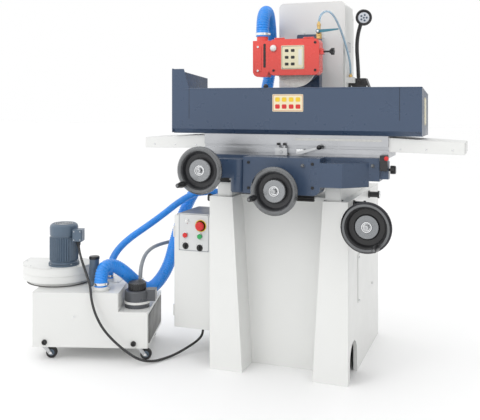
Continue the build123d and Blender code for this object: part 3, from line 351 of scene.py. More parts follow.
def enamel(name, colour, roughness=0.34, worn=(0.35, 0.35, 0.34), wear=0.35, grime=0.10):
    """Sprayed machine enamel: orange peel, broad tone, handling grime and rubbed edges."""
    f = Finish(name, colour, roughness)
    f.round_edges(0.0022)
    f.raise_by(f.grain(420.0, 2.0), 0.00012, 0.35)
    f.raise_by(f.grain(26.0, 3.0), 0.0006, 0.12)
    tone = f.mix(f.grain(3.2, 5.0), shade(colour, 1.0 - grime), shade(colour, 1.0 + grime * 0.5))
    specks = f.spread(f.grain(90.0, 6.0, roughness=0.75), 0.66, 0.78, 0.0, 0.5)
    tone = f.mix(specks, tone, shade(colour, 1.0 - 2.2 * grime))
    rubbed = f.math("MULTIPLY", f.edge_mask(0.0016), f.spread(f.grain(60.0, 6.0), 0.5, 0.66, 0.0, wear))
    f.colour(f.mix(rubbed, tone, worn))
    f.rough(f.spread(f.grain(14.0, 5.0), 0.3, 0.7, roughness - 0.07, roughness + 0.1))
    f.shader.inputs["Coat Weight"].default_value = 0.12
    f.shader.inputs["Coat Roughness"].default_value = 0.18
    return f


def ground(name, colour, roughness=0.26, lay=(4.0, 260.0, 260.0), stain=0.22):
    """Ground or brushed metal: fine lines along one direction, a faint oil film and scratches."""
    f = Finish(name, colour, roughness, 1.0)
    f.round_edges(0.0012)
    lines = f.grain(6.0, 6.0, f.stretched(lay), 0.7)
    f.raise_by(lines, 0.00016, 0.4)
    film = f.grain(9.0, 5.0)
    tone = f.mix(film, shade(colour, 1.0 - stain), shade(colour, 1.0 + stain * 0.4))
    scratch = f.spread(lines, 0.62, 0.72, 0.0, 0.45)
    f.colour(f.mix(scratch, tone, shade(colour, 1.35)))
    f.rough(f.math("ADD", f.spread(lines, 0.3, 0.7, roughness - 0.05, roughness + 0.09),
                   f.spread(film, 0.35, 0.7, 0.0, 0.1)))
    return f


def moulded(name, colour, roughness=0.38, texture=0.00010):
    """Moulded plastic or rubber: fine stipple, faint flow tone and dust in the hollows."""
    f = Finish(name, colour, roughness)
    f.round_edges(0.001)
    f.raise_by(f.grain(900.0, 2.0), texture, 0.5)
    tone = f.mix(f.grain(22.0, 4.0), shade(colour, 0.82), shade(colour, 1.12))
    dust = f.spread(f.grain(45.0, 6.0, roughness=0.7), 0.58, 0.8, 0.0, 0.1)
    f.colour(f.mix(dust, tone, (0.42, 0.41, 0.39)))
    f.rough(f.spread(f.grain(30.0, 4.0), 0.3, 0.7, roughness - 0.06, roughness + 0.1))
    return f


def handwheel_finish(name, hub, rim, dish, disc):
    """Concentric finishes round a handwheel's axis: hub disc, enamelled dish and turned rim."""
    f = ground(name, rim, 0.24, (60.0, 60.0, 60.0), 0.15)
    flat = f.stretched((1.0, 0.0, 1.0), hub)
    length = f.node("VectorMath", operation="LENGTH")
    f.join(flat, length.inputs[0])
    radius = length.outputs["Value"]
    turning = f.math("SINE", f.math("MULTIPLY", radius, 5200.0))
    f.raise_by(turning, 0.00005, 0.35)
    in_dish = f.math("MULTIPLY", f.spread(radius, 0.047, 0.0478), f.spread(radius, 0.079, 0.0782))
    on_disc = f.spread(radius, 0.047, 0.0462)
    tone = f.mix(f.grain(40.0, 5.0), shade(rim, 0.85), shade(rim, 1.1))
    tone = f.mix(in_dish, tone, dish)
    tone = f.mix(on_disc, tone, disc)
    f.colour(tone)
    f.join(f.spread(in_dish, 0.0, 1.0, 1.0, 0.0), f.shader.inputs["Metallic"])
    f.rough(f.math("ADD", f.spread(in_dish, 0.0, 1.0, 0.24, 0.3),
                   f.spread(f.grain(50.0), 0.3, 0.7, 0.0, 0.08)))
    return f


def chuck_finish():
    """Ground chuck: brass-coloured pole lines on the top face and fine grinding marks."""
    f = ground("ground magnetic chuck", (0.52, 0.53, 0.54), 0.24, (5.0, 300.0, 300.0))
    split = f.node("SeparateXYZ")
    f.join(f.place, split.inputs[0])
    wave = f.math("FRACT", f.math("MULTIPLY", split.outputs["X"], 90.0))
    line = f.spread(f.math("ABSOLUTE", f.math("SUBTRACT", wave, 0.5)), 0.12, 0.09)
    top = f.spread(split.outputs["Z"], 1.0788, 1.0796)
    line = f.math("MULTIPLY", line, top)
    shown = f.shader.inputs["Base Color"].links[0].from_socket
    f.colour(f.mix(line, shown, (0.55, 0.38, 0.13)))
    return f


def tray_finish(colour):
    """Tray enamel with the two butt seams between its three front sheets."""
    f = enamel("tray enamel", colour, 0.3, (0.3, 0.32, 0.34), 0.4)
    split = f.node("SeparateXYZ")
    f.join(f.place, split.inputs[0])
    first, second = (f.spread(f.math("ABSOLUTE", f.math(operation, split.outputs["X"], distance)), 0.0008,
                              0.0016, 1.0, 0.0) for operation, distance in (("ADD", 0.398),
            ("SUBTRACT", 0.503)))
    front = f.spread(split.outputs["Y"], -0.3592, -0.3584, 1.0, 0.0)
    upper = f.spread(split.outputs["Z"], 1.068, 1.072)
    seam = f.math("MULTIPLY", f.math("MULTIPLY", f.math("MAXIMUM", first, second), front), upper)
    f.raise_by(f.math("SUBTRACT", 1.0, seam), 0.0012, 0.8)
    shown = f.shader.inputs["Base Color"].links[0].from_socket
    f.colour(f.mix(seam, shown, shade(colour, 0.35)))
    return f


def abrasive_finish():
    """Bonded white grain with pores and a blotter's worth of loaded metal at the rim."""
    f = Finish("bonded abrasive", (0.8, 0.78, 0.74), 0.92)
    cells = f.node("TexVoronoi", Scale=900.0)
    f.join(f.place, cells.inputs["Vector"])
    f.raise_by(cells.outputs["Distance"], 0.0005, 0.9)
    tone = f.mix(f.spread(f.grain(700.0, 3.0), 0.35, 0.65), (0.62, 0.6, 0.56), (0.9, 0.89, 0.86))
    f.colour(f.mix(f.spread(f.grain(60.0, 5.0), 0.55, 0.75, 0.0, 0.5), tone, (0.4, 0.39, 0.38)))
    return f


def hose_finish(name, colour, roughness=0.30, dust=0.18, clear=0.0):
    """Ribbed hose wall: glossy polyurethane with dust lying in it and faint yellowing."""
    f = Finish(name, colour, roughness)
    f.raise_by(f.grain(300.0, 3.0), 0.00015, 0.4)
    tone = f.mix(f.grain(12.0, 5.0), shade(colour, 0.72), shade(colour, 1.25))
    f.colour(f.mix(f.spread(f.grain(50.0, 6.0, roughness=0.75), 0.52, 0.82, 0.0, dust), tone,
                   (0.5, 0.52, 0.55)))
    f.rough(f.spread(f.grain(35.0, 5.0), 0.3, 0.7, roughness - 0.08, roughness + 0.14))
    f.shader.inputs["Coat Weight"].default_value = 0.35
    f.shader.inputs["Coat Roughness"].default_value = 0.12
    f.shader.inputs["Transmission Weight"].default_value = clear
    return f


def label_finish(name, ground_colour, border, centre, half, across_axis):
    """A blank plate: a printed border line inside its edge and light handling marks."""
    f = Finish(name, ground_colour, 0.36)
    split = f.node("SeparateXYZ")
    f.join(f.stretched((1.0, 1.0, 1.0), centre), split.inputs[0])
    wide = f.math("DIVIDE", f.math("ABSOLUTE", split.outputs[across_axis]), half[0])
    tall = f.math("DIVIDE", f.math("ABSOLUTE", split.outputs["Z"]), half[1])
    edge_w = f.math("MULTIPLY", f.math("SUBTRACT", 1.0, wide), half[0])
    edge_t = f.math("MULTIPLY", f.math("SUBTRACT", 1.0, tall), half[1])
    inset = f.math("MINIMUM", edge_w, edge_t)
    line = f.math("MULTIPLY", f.spread(inset, 0.0026, 0.003), f.spread(inset, 0.0048, 0.0044))
    tone = f.mix(f.grain(30.0, 4.0), shade(ground_colour, 0.92), shade(ground_colour, 1.03))
    f.colour(f.mix(line, tone, border))
    f.raise_by(f.grain(500.0, 2.0), 0.00005, 0.3)
    f.rough(f.spread(f.grain(40.0, 5.0), 0.3, 0.7, 0.28, 0.46))
    return f


def glowing(name, colour, strength):
    """A lamp's lens: a faceted bright face."""
    f = Finish(name, colour, 0.2)
    cells = f.node("TexVoronoi", Scale=420.0)
    f.join(f.place, cells.inputs["Vector"])
    f.raise_by(cells.outputs["Distance"], 0.0004, 0.6)
    f.colour(f.mix(cells.outputs["Distance"], shade(colour, 0.8), colour))
    f.shader.inputs["Emission Color"].default_value = (*colour, 1.0)
    f.shader.inputs["Emission Strength"].default_value = strength
    return f


MADE = {}


def finish(name):
    """The material of that finish, made once."""
    if name not in MADE:
        paint = bpy.context.scene.grinder_paint
        white, dark, red = tuple(paint.white), tuple(paint.dark), tuple(paint.red)
        grey_wheel = ((0.2, 0.205, 0.21), (0.03, 0.031, 0.034), (0.3, 0.31, 0.32))
        black_wheel = ((0.05, 0.05, 0.055), (0.014, 0.014, 0.015), (0.26, 0.27, 0.28))
        makers = {
            "white": lambda: enamel("white machine enamel", white, 0.36, (0.42, 0.42, 0.41), 0.25, 0.05),
            "dark": lambda: enamel("blue-grey machine enamel", dark, 0.30),
            "tray": lambda: tray_finish(dark),
            "red": lambda: enamel("guard enamel", red, 0.26, (0.45, 0.40, 0.38), 0.35, 0.12),
            # Dark grey: the volute's foot, and the painted shade on the cabinet's top.
            "grey": lambda: enamel("dark grey enamel and painted shade", (0.13, 0.126, 0.122), 0.34, (0.4, 0.4, 0.4), 0.3),
            "black": lambda: enamel("black enamel", (0.018, 0.018, 0.020), 0.34, (0.25, 0.25, 0.25), 0.5),
            "motor": lambda: enamel(
                "hammered motor enamel", (0.085, 0.125, 0.175), 0.36, (0.4, 0.4, 0.4), 0.4),
            "pump": lambda: enamel("pump enamel", (0.075, 0.080, 0.090), 0.32, (0.4, 0.4, 0.4), 0.3),
            "teal": lambda: enamel("lever enamel", (0.04, 0.20, 0.27), 0.32, (0.5, 0.5, 0.5), 0.5),
            "steel": lambda: ground("turned steel", (0.56, 0.57, 0.58), 0.25, (40.0, 40.0, 40.0)),
            "rim": lambda: ground("dark turned rim", (0.19, 0.195, 0.20), 0.30, (40.0, 40.0, 40.0)),
            "iron": lambda: ground("ground iron", (0.50, 0.51, 0.53), 0.26),
            "bright": lambda: ground("bright plate", (0.78, 0.79, 0.80), 0.12, (30.0, 30.0, 30.0), 0.08),
            "brass": lambda: ground("machined brass", (0.72, 0.50, 0.20), 0.24, (60.0, 60.0, 60.0)),
            "plastic": lambda: moulded("black moulding", (0.012, 0.012, 0.013), 0.30),
            "rubber": lambda: moulded("black rubber", (0.016, 0.016, 0.016), 0.62, 0.00025),
            "red_knob": lambda: moulded("red moulding", (0.62, 0.02, 0.02), 0.28),
            "green_knob": lambda: moulded("green moulding", (0.02, 0.34, 0.09), 0.28),
            "yellow": lambda: moulded("yellow moulding", (0.78, 0.52, 0.02), 0.40),
            "pearl": lambda: moulded("white moulding", (0.78, 0.78, 0.76), 0.30),
            "abrasive": abrasive_finish,
            "chuck": chuck_finish,
            "hose": lambda: hose_finish("blue dust hose", tuple(paint.hose)),
            "return": lambda: hose_finish("blue return hose", tuple(paint.hose), 0.34),
            "supply": lambda: hose_finish("grey coolant hose", (0.22, 0.24, 0.26), 0.40, 0.25),
            "clear": lambda: hose_finish("pale clear hose", (0.42, 0.60, 0.74), 0.16, 0.05, 0.45),
            "cable": lambda: hose_finish("cable sheath", (0.014, 0.014, 0.015), 0.48, 0.12),
            "lens": lambda: glowing("lamp lens", (0.62, 0.65, 0.70), 0.12),
            "wheel_grey": lambda: handwheel_finish(
                "cross handwheel finish", CROSS_HUB, *grey_wheel),
            "wheel_left": lambda: handwheel_finish(
                "traverse handwheel finish", TRAVERSE_HUB, *grey_wheel),
            "wheel_right": lambda: handwheel_finish(
                "vertical handwheel finish", VERTICAL_HUB, *black_wheel),
        }
        MADE[name] = makers[name]().done()
    return MADE[name]


NODE_FINISH = {"white": ("base_pedestal", "base_side_cover", "column", "column_rear_cover",
                         "control_cabinet", "cabinet_door", "tank_body", "blower_volute", "way_covers",
                         "head_cover"), "dark": ("saddle", "wheelhead"), "tray": ("splash_tray",),
               "red": ("wheel_guard", "guard_cover"), "black": ("feed_housing", "lifting_bars", "lamp_arm",
        "lamp_head"), "motor": ("blower_motor", "spindle_motor"), "pump": ("coolant_pump",),
               "teal": ("valve_lever",), "steel": ("blower_impeller", "caster_fork_left",
                                                   "caster_fork_right", "cross_feed_screw", "trip_dogs",
                                                   "elevating_screw", "elevating_nut", "spindle"),
               "iron": ("table",), "chuck": ("magnetic_chuck",), "brass": ("coolant_valve",),
               "abrasive": ("grinding_wheel",), "plastic": ("selector_left", "selector_right",
                                                            "cable_gland", "lock_knob", "traverse_grip",
                                                            "cross_grip", "vertical_grip", "chuck_lever",
                                                            "star_knob"),
               "rubber": ("caster_wheel_front_left", "caster_wheel_front_right", "caster_wheel_rear_left",
                          "caster_wheel_rear_right"), "red_knob": ("stop_button", "emergency_stop"),
               "green_knob": ("start_button",), "wheel_grey": ("cross_handwheel",),
               "wheel_left": ("traverse_handwheel",), "wheel_right": ("vertical_handwheel",),
               "hose": ("dust_hose_upper", "dust_hose_lower"), "return": ("return_hose",),
               "supply": ("coolant_supply_hose",), "clear": ("coolant_loop_hose",),
               "cable": ("motor_cable",)}

# A fitting's look: its finish, and a slot name that is not used.
BRIGHT = ("bright", "turned_steel")
STEEL = ("steel", "turned_steel")
RIM = ("rim", "turned_steel")
PLASTIC = ("plastic", "black_plastic")
RUBBER = ("rubber", "caster_tread")
MOTOR = ("motor", "motor_grey")
PEARL = ("pearl", "machine_white")
PEARL_RING = ("pearl", "turned_steel")
WHITE = ("white", "machine_white")
TANK = ("white", "tank_paint")
BLACK = ("black", "black_paint")
LAMP = ("black", "lamp_black")
TRAY = ("tray", "machine_blue_grey")
GUARD = ("red", "guard_red")
RED_KNOB = ("red_knob", "red_plastic")
# Dark grey laid on the cabinet's white top as painted shade.
CABINET_TOP_SHADE = ("grey", "machine_blue_grey")
GREY_FOOT = ("grey", "black_paint")
BRASS = ("brass", "brass")
LENS = ("lens", "machine_white")


# ---------------------------------------------------------------- settings
class GrinderPaint(bpy.types.PropertyGroup):
    """Colours that an owner of the machine could choose."""

    white: bpy.props.FloatVectorProperty(name="Body enamel",
                                         description="Pedestal, column, cabinet and tank", subtype="COLOR",
                                         size=3, min=0.0, max=1.0, default=(0.74, 0.745, 0.73))
    dark: bpy.props.FloatVectorProperty(name="Dark enamel", description="Saddle, splash tray and wheelhead",
                                        subtype="COLOR", size=3, min=0.0, max=1.0,
                                        default=(0.042, 0.07, 0.125))
    red: bpy.props.FloatVectorProperty(name="Guard enamel", description="Wheel guard and its dust duct",
                                       subtype="COLOR", size=3, min=0.0, max=1.0,
                                       default=(0.78, 0.07, 0.055))
    hose: bpy.props.FloatVectorProperty(name="Hose", description="Dust and return hoses", subtype="COLOR",
                                        size=3, min=0.0, max=1.0, default=(0.002, 0.235, 0.76))


class GrinderSizes(bpy.types.PropertyGroup):
    """Sizes of the fittings that an owner could change."""

    rib_pitch: bpy.props.FloatProperty(name="Rib pitch",
                                       description="Distance between the ribs of the dust hose",
                                       default=0.0105, min=0.006, max=0.03, subtype="DISTANCE",
                                       unit="LENGTH")
    rib_depth: bpy.props.FloatProperty(name="Rib depth", description="How deep the dust hose's ribs are",
                                       default=0.0035, min=0.0, max=0.01, subtype="DISTANCE", unit="LENGTH")
    screw: bpy.props.FloatProperty(name="Plate screw",
                                   description="Radius of the screws that hold labels and lids",
                                   default=0.003, min=0.001, max=0.01, subtype="DISTANCE", unit="LENGTH")
    fins: bpy.props.IntProperty(name="Motor fins", description="Cooling fins round the blower motor",
                                default=36, min=8, max=60)


# ---------------------------------------------------------------- stage
def studio_world():
    """A pale room, lighter towards the front left: its strength follows direction . bright_side.

    The camera itself sees plain white paper behind the machine.
    """
    world = bpy.data.worlds.new("studio")
    world.use_nodes = True
    nodes, links = world.node_tree.nodes, world.node_tree.links
    place = nodes.new("ShaderNodeTexCoord")
    dot = nodes.new("ShaderNodeVectorMath")
    dot.operation = "DOT_PRODUCT"
    bright_side = Vector((-0.62, -0.42, 0.66))
    dot.inputs[1].default_value = bright_side.normalized()
    links.new(place.outputs["Generated"], dot.inputs[0])
    spread = nodes.new("ShaderNodeMapRange")
    spread.interpolation_type = "SMOOTHSTEP"
    for key, value in (("From Min", -0.7), ("From Max", 0.9), ("To Min", 0.62), ("To Max", 1.28)):
        spread.inputs[key].default_value = value
    links.new(dot.outputs["Value"], spread.inputs["Value"])
    sight = nodes.new("ShaderNodeLightPath")
    paper = nodes.new("ShaderNodeMath")
    paper.operation = "MAXIMUM"
    links.new(spread.outputs["Result"], paper.inputs[0])
    links.new(sight.outputs["Is Camera Ray"], paper.inputs[1])
    links.new(paper.outputs["Value"], nodes["Background"].inputs["Strength"])
    nodes["Background"].inputs["Color"].default_value = (1.0, 1.0, 1.0, 1.0)
    return world


class GRINDER_OT_stage(bpy.types.Operator):
    """Camera, floor and studio light."""

    bl_idname = "grinder.stage"
    bl_label = "Studio"

    def execute(self, context):
        scene = context.scene
        turn = math.radians(20.0)
        camera = bpy.data.objects.new("camera", bpy.data.cameras.new("camera"))
        camera.location = (0.898, -3.275, 1.147)
        camera.rotation_euler = (math.radians(90.0), 0.0, turn)
        camera.data.sensor_width = 36.0
        camera.data.lens = 54.98
        camera.data.shift_y = -0.2271
        camera.data.clip_end = 60.0
        scene.collection.objects.link(camera)
        scene.camera = camera

        floor_mesh = bpy.data.meshes.new("studio_floor")
        side = 30.0
        floor_mesh.from_pydata([(-side, -side, 0), (side, -side, 0), (side, side, 0), (-side, side, 0)], [],
                               [(0, 1, 2, 3)])
        floor = bpy.data.objects.new("studio_floor", floor_mesh)
        scene.collection.objects.link(floor)
        f = Finish("studio floor", (0.92, 0.92, 0.92), 0.6)
        f.colour(f.mix(f.grain(1.5, 3.0), (0.91, 0.91, 0.91), (0.94, 0.94, 0.94)))
        floor_mesh.materials.append(f.done())

        scene.world = studio_world()
        for name, place, power, size in (
                ("key", (-2.0, -3.4, 3.6), 26.0, 1.6),
                ("fill", (3.2, -2.4, 2.4), 8.0, 2.0),
                ("back", (0.6, 3.4, 3.2), 14.0, 2.0)):
            light = bpy.data.lights.new(name, "AREA")
            light.energy = power
            light.size = size
            holder = bpy.data.objects.new(name, light)
            holder.location = place
            aim = Vector((0.0, 0.0, 0.8)) - Vector(place)
            holder.rotation_euler = aim.to_track_quat("-Z", "Y").to_euler()
            scene.collection.objects.link(holder)
        scene.view_settings.view_transform = "Standard"
        return {"FINISHED"}


# ---------------------------------------------------------------- hoses and cable
HOSE_JOINT = np.array([-0.25, 0.282, 1.21])
HOSE_RUN = np.array([-0.03, 0.022, -0.112])
DUCT = np.array([-0.152, -0.089, 1.44])
UPPER_DUST = [DUCT, (-0.152, -0.089, 1.5), (-0.158, -0.043, 1.556), (-0.166, 0.03, 1.57),
              (-0.184, 0.118, 1.536), (-0.202, 0.2, 1.44), HOSE_JOINT - HOSE_RUN, HOSE_JOINT]
TANK_COLLAR = unit(0.295, 0.053, 0.32)
LOWER_DUST = [HOSE_JOINT, HOSE_JOINT + HOSE_RUN, (-0.348, 0.306, 0.992), (-0.43, 0.285, 0.89),
              (-0.53, 0.25, 0.79), (-0.606, 0.195, 0.7), (-0.642, 0.12, 0.585), (-0.652, 0.045, 0.455),
              (-0.65, -0.035, 0.345), (-0.672, -0.11, 0.275), (-0.694, -0.176, 0.256),
              (-0.718, -0.24, 0.302), (-0.752, -0.296, 0.366), (-0.784, -0.35, 0.408),
              (TANK_COLLAR[0], TANK_COLLAR[1], 0.396), TANK_COLLAR]
RETURN_MOUTH = unit(0.3, 0.205, 0.32)
RETURN = [(-0.325, 0.06, 0.7), (-0.4, 0.06, 0.7), (-0.482, 0.064, 0.702), (-0.565, 0.068, 0.688),
          (-0.645, 0.058, 0.64), (-0.717, 0.028, 0.577), (-0.782, -0.028, 0.522), (-0.828, -0.1, 0.48),
          (-0.852, -0.175, 0.438), (-0.856, -0.232, 0.392), (RETURN_MOUTH[0], RETURN_MOUTH[1], 0.352),
          RETURN_MOUTH]
PUMP_MOUTH = unit(0.455, 0.147, 0.325)
SUPPLY = [PUMP_MOUTH, (PUMP_MOUTH[0], PUMP_MOUTH[1], 0.372), (-0.702, -0.205, 0.408), (-0.73, -0.112, 0.42),
          (-0.74, -0.008, 0.43), (-0.7, 0.092, 0.438), (-0.605, 0.138, 0.444), (-0.49, 0.132, 0.448),
          (-0.392, 0.11, 0.45), (-0.31, 0.11, 0.45)]
LOOP = [(0.112, -0.09, 1.48), (0.112, -0.09, 1.512), (0.122, -0.066, 1.542), (0.138, -0.02, 1.556),
        (0.152, 0.034, 1.54), (0.165, 0.09, 1.496), (0.178, 0.15, 1.43), (0.188, 0.205, 1.355),
        (0.186, 0.25, 1.308), (0.186, 0.25, 1.262)]
BOX_MOUTH = unit(0.172, 0.132, 0.506)
CABLE = [BOX_MOUTH, (BOX_MOUTH[0], BOX_MOUTH[1], 0.472), (-0.918, -0.392, 0.428), (-0.888, -0.406, 0.378),
         (-0.858, -0.424, 0.336), (-0.828, -0.462, 0.32), (-0.806, -0.492, 0.284), (-0.782, -0.5, 0.222),
         (-0.748, -0.492, 0.158), (-0.7, -0.48, 0.106), (-0.646, -0.464, 0.06), (-0.596, -0.44, 0.024),
         (-0.556, -0.398, 0.009), (-0.526, -0.34, 0.007), (-0.496, -0.282, 0.012), (-0.462, -0.23, 0.03),
         (-0.43, -0.192, 0.052), (-0.411, -0.174, 0.078), (-0.411, -0.174, 0.106)]


def hose(name, node, route, diameter, look, body, pitch=0.0, depth=0.0, stiffness="medium",
         between=None):
    """A hose or cable along the route's NURBS line, plain or with ribs at a pitch.

    A hose that crosses a joint is given between; it is then left on no body and its placement is baked into
    its mesh. The bodies and points that between holds are not used.
    between holds the bodies and the two points that it bends between, where it crosses a joint.
    """
    line = smooth_line(name + "_line", route)
    if pitch:
        steps_per_rib, cuff_length, cuff_fade = 6, 0.022, 0.006
        path, along = resampled(line, pitch / steps_per_rib)
        wave = np.abs(np.cos(math.pi * along / pitch)) ** 0.6
        ends = np.minimum(along, along[-1] - along)
        cuff = np.clip((ends - cuff_length) / cuff_fade, 0.0, 1.0)
        radii = diameter / 2 - depth * (1.0 - wave) * cuff
        around = 36 if diameter > 0.05 else 28
    else:
        path, along = resampled(line, max(diameter * 0.4, 0.004))
        radii = np.full(len(path), diameter / 2)
        around = 24
    piece = swept(name, path, radii, None if between else body, look, around=around)
    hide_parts(node)
    if between:
        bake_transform(piece)


class GRINDER_OT_hoses(bpy.types.Operator):
    """Dust, return and coolant hoses and the motor cable, with their clamps and glands."""

    bl_idname = "grinder.hoses"
    bl_label = "Hoses and cable"

    def execute(self, context):
        sizes = context.scene.grinder_sizes
        pitch, depth = sizes.rib_pitch, sizes.rib_depth
        dust, returned = ("hose", "dust_hose_blue"), ("return", "return_hose_blue")
        hose("dust_hose_arch", "dust_hose_upper", UPPER_DUST, 0.06, dust, "wheelhead", pitch, depth,
             between=("base", "wheelhead", (-0.2, 0.26, 1.25), (-0.155, -0.02, 1.25)))
        hose("dust_hose_drop", "dust_hose_lower", LOWER_DUST, 0.06, dust, "base", pitch, depth)
        hose("coolant_return", "return_hose", RETURN, 0.034, returned, "base", 0.0075, 0.0022)
        hose("coolant_supply", "coolant_supply_hose", SUPPLY, 0.018, ("supply", "grey_hose"), "base")
        hose("coolant_loop", "coolant_loop_hose", LOOP, 0.01, ("clear", "clear_hose"), "wheelhead",
             between=("base", "wheelhead", (0.186, 0.23, 1.3), (0.14, -0.02, 1.3)))
        hose("blower_cable", "motor_cable", CABLE, 0.011, ("cable", "cable_black"), "base",
             stiffness="stiff")
        for name, at, axis, radius, width, body in (
                ("duct", DUCT + 0.006 * Z, Z, 0.0302, 0.012, "wheelhead"),
                ("joint", HOSE_JOINT + 0.10 * HOSE_RUN, HOSE_RUN, 0.0302, 0.012, "base"),
                ("tank", TANK_COLLAR + 0.006 * Z, Z, 0.0302, 0.012, "base"),
                ("return", RETURN_MOUTH + 0.006 * Z, Z, 0.0172, 0.010, "base"),
                ("spigot", np.array([-0.345, 0.060, 0.700]), -X, 0.0172, 0.010, "base"),
                ("supply", PUMP_MOUTH + 0.004 * Z, Z, 0.0092, 0.008, "base")):
            band("hose_clamp_" + name, at, axis, radius, width, body)
        nut = [(0.0085, 0.0), (0.0095, 0.001), (0.0095, 0.01), (0.0085, 0.011), (0.0062, 0.013),
               (0.0058, 0.02)]
        for name, at, body in (("column", (0.186, 0.250, 1.2625), "base"),
                               ("valve", (0.112, -0.090, 1.4805), "wheelhead")):
            turned("hose_nut_" + name, at, Z, nut, body, BRASS, around=36, lobes=6, depth=0.0009)
        gland = [(0.011, 0.0), (0.011, 0.006), (0.0095, 0.008), (0.0095, 0.016), (0.0075, 0.02),
                 (0.007, 0.026)]
        turned("motor_gland", BOX_MOUTH, -Z, gland, "base", PLASTIC, around=36, lobes=6, depth=0.0008)
        turned("grommet_supply", (-0.3105, 0.11, 0.45), -X,
               [(0.019, 0), (0.019, 0.003), (0.0115, 0.01), (0.0095, 0.01)], "base", RUBBER)
        return {"FINISHED"}


def band(name, at, axis, radius, width, body):
    """A worm-drive hose clip: a thin turned band and its screw housing."""
    axis, _, second = basis(axis)
    bite, thick, edge = 0.0006, 0.0012, 0.0004
    inner, outer = radius - bite, radius + thick
    profile = [(inner, 0.0), (outer, edge), (outer, width - edge), (inner, width)]
    turned(name, at, axis, profile, body, BRIGHT, around=56, ring=True)
    out = -second if second[1] > 0 else second
    plate(name + "_worm", np.asarray(at) + width / 2 * axis + (radius + 0.001) * out, out,
          np.cross(axis, out), (0.018, width * 0.85, 0.006), body, BRIGHT, corner=0.002, bevel=0.001)


# ---------------------------------------------------------------- pieces
class GRINDER_OT_finishes(bpy.types.Operator):
    """Materials for the CAD nodes in NODE_FINISH, and smooth shading for all of them but the pedestal,
    column and splash tray.
    """

    bl_idname = "grinder.finishes"
    bl_label = "Finishes"

    def execute(self, context):
        for look, names in NODE_FINISH.items():
            for name in names:
                node = NODES[name]
                node.data.materials.clear()
                node.data.materials.append(finish(look))
                node.data.polygons.foreach_set("material_index",
                                               np.zeros(len(node.data.polygons), np.int32))
                if name not in ("base_pedestal", "column", "splash_tray"):
                    node.data.polygons.foreach_set("use_smooth", np.ones(len(node.data.polygons), bool))
                    weld = node.modifiers.new("weld", "WELD")
                    weld.merge_threshold = 0.00001
                    split = node.modifiers.new("sharp", "EDGE_SPLIT")
                    split.split_angle = math.radians(32.0)
        return {"FINISHED"}


class GRINDER_OT_handwheels(bpy.types.Operator):
    """Hub rings, centre screws and divided collars of the three handwheels."""

    bl_idname = "grinder.handwheels"
    bl_label = "Handwheels"

    def execute(self, context):
        for name, hub, face in (("traverse", TRAVERSE_HUB, 0.0), ("cross", CROSS_HUB, 0.0),
                                ("vertical", VERTICAL_HUB, 0.012)):
            body = name + "_wheel"
            front = hub + face * Y
            turned(name + "_hub_ring", front, FRONT, [(0.0215, 0.0), (0.0215, 0.003), (0.02, 0.0045),
                                                      (0.0165, 0.0045), (0.015, 0.002), (0.012, 0.0016)],
                   body, BRIGHT)
            turned(name + "_hub_nut", front - 0.0066 * Y, FRONT,
                   [(0.0108, 0.0), (0.0108, 0.006), (0.0095, 0.008), (0.005, 0.0085), (0.0045, 0.004)],
                   body, STEEL, around=36, lobes=6, depth=0.0012)
            turned(name + "_rim_bead", hub - 0.0112 * Y, FRONT,
                   [(0.0898, 0.0), (0.089, 0.0012), (0.085, 0.0018), (0.0812, 0.0012), (0.0802, 0.0)], body,
                   RIM, around=96, ring=True)
            turned(name + "_dial", hub + 0.04 * Y, Y, [(0.0362, 0.0), (0.0372, 0.001), (0.0372, 0.015),
                                                       (0.0362, 0.016)], body, BRIGHT, around=300,
                   lobes=100, depth=0.0008, ring=True)
        for name, hub, turn in (("traverse", TRAVERSE_HUB, 223.0), ("cross", CROSS_HUB, 199.0),
                                ("vertical", VERTICAL_HUB, 303.0)):
            angle = math.radians(turn)
            pin = hub + 0.08 * (math.cos(angle) * X + math.sin(angle) * Z) - 0.0863 * Y
            turned(name + "_grip_cap", pin, FRONT, [(0.0058, 0.0), (0.0056, 0.0012), (0.003, 0.0018)],
                   name + "_grip", RIM, around=24)
        return {"FINISHED"}


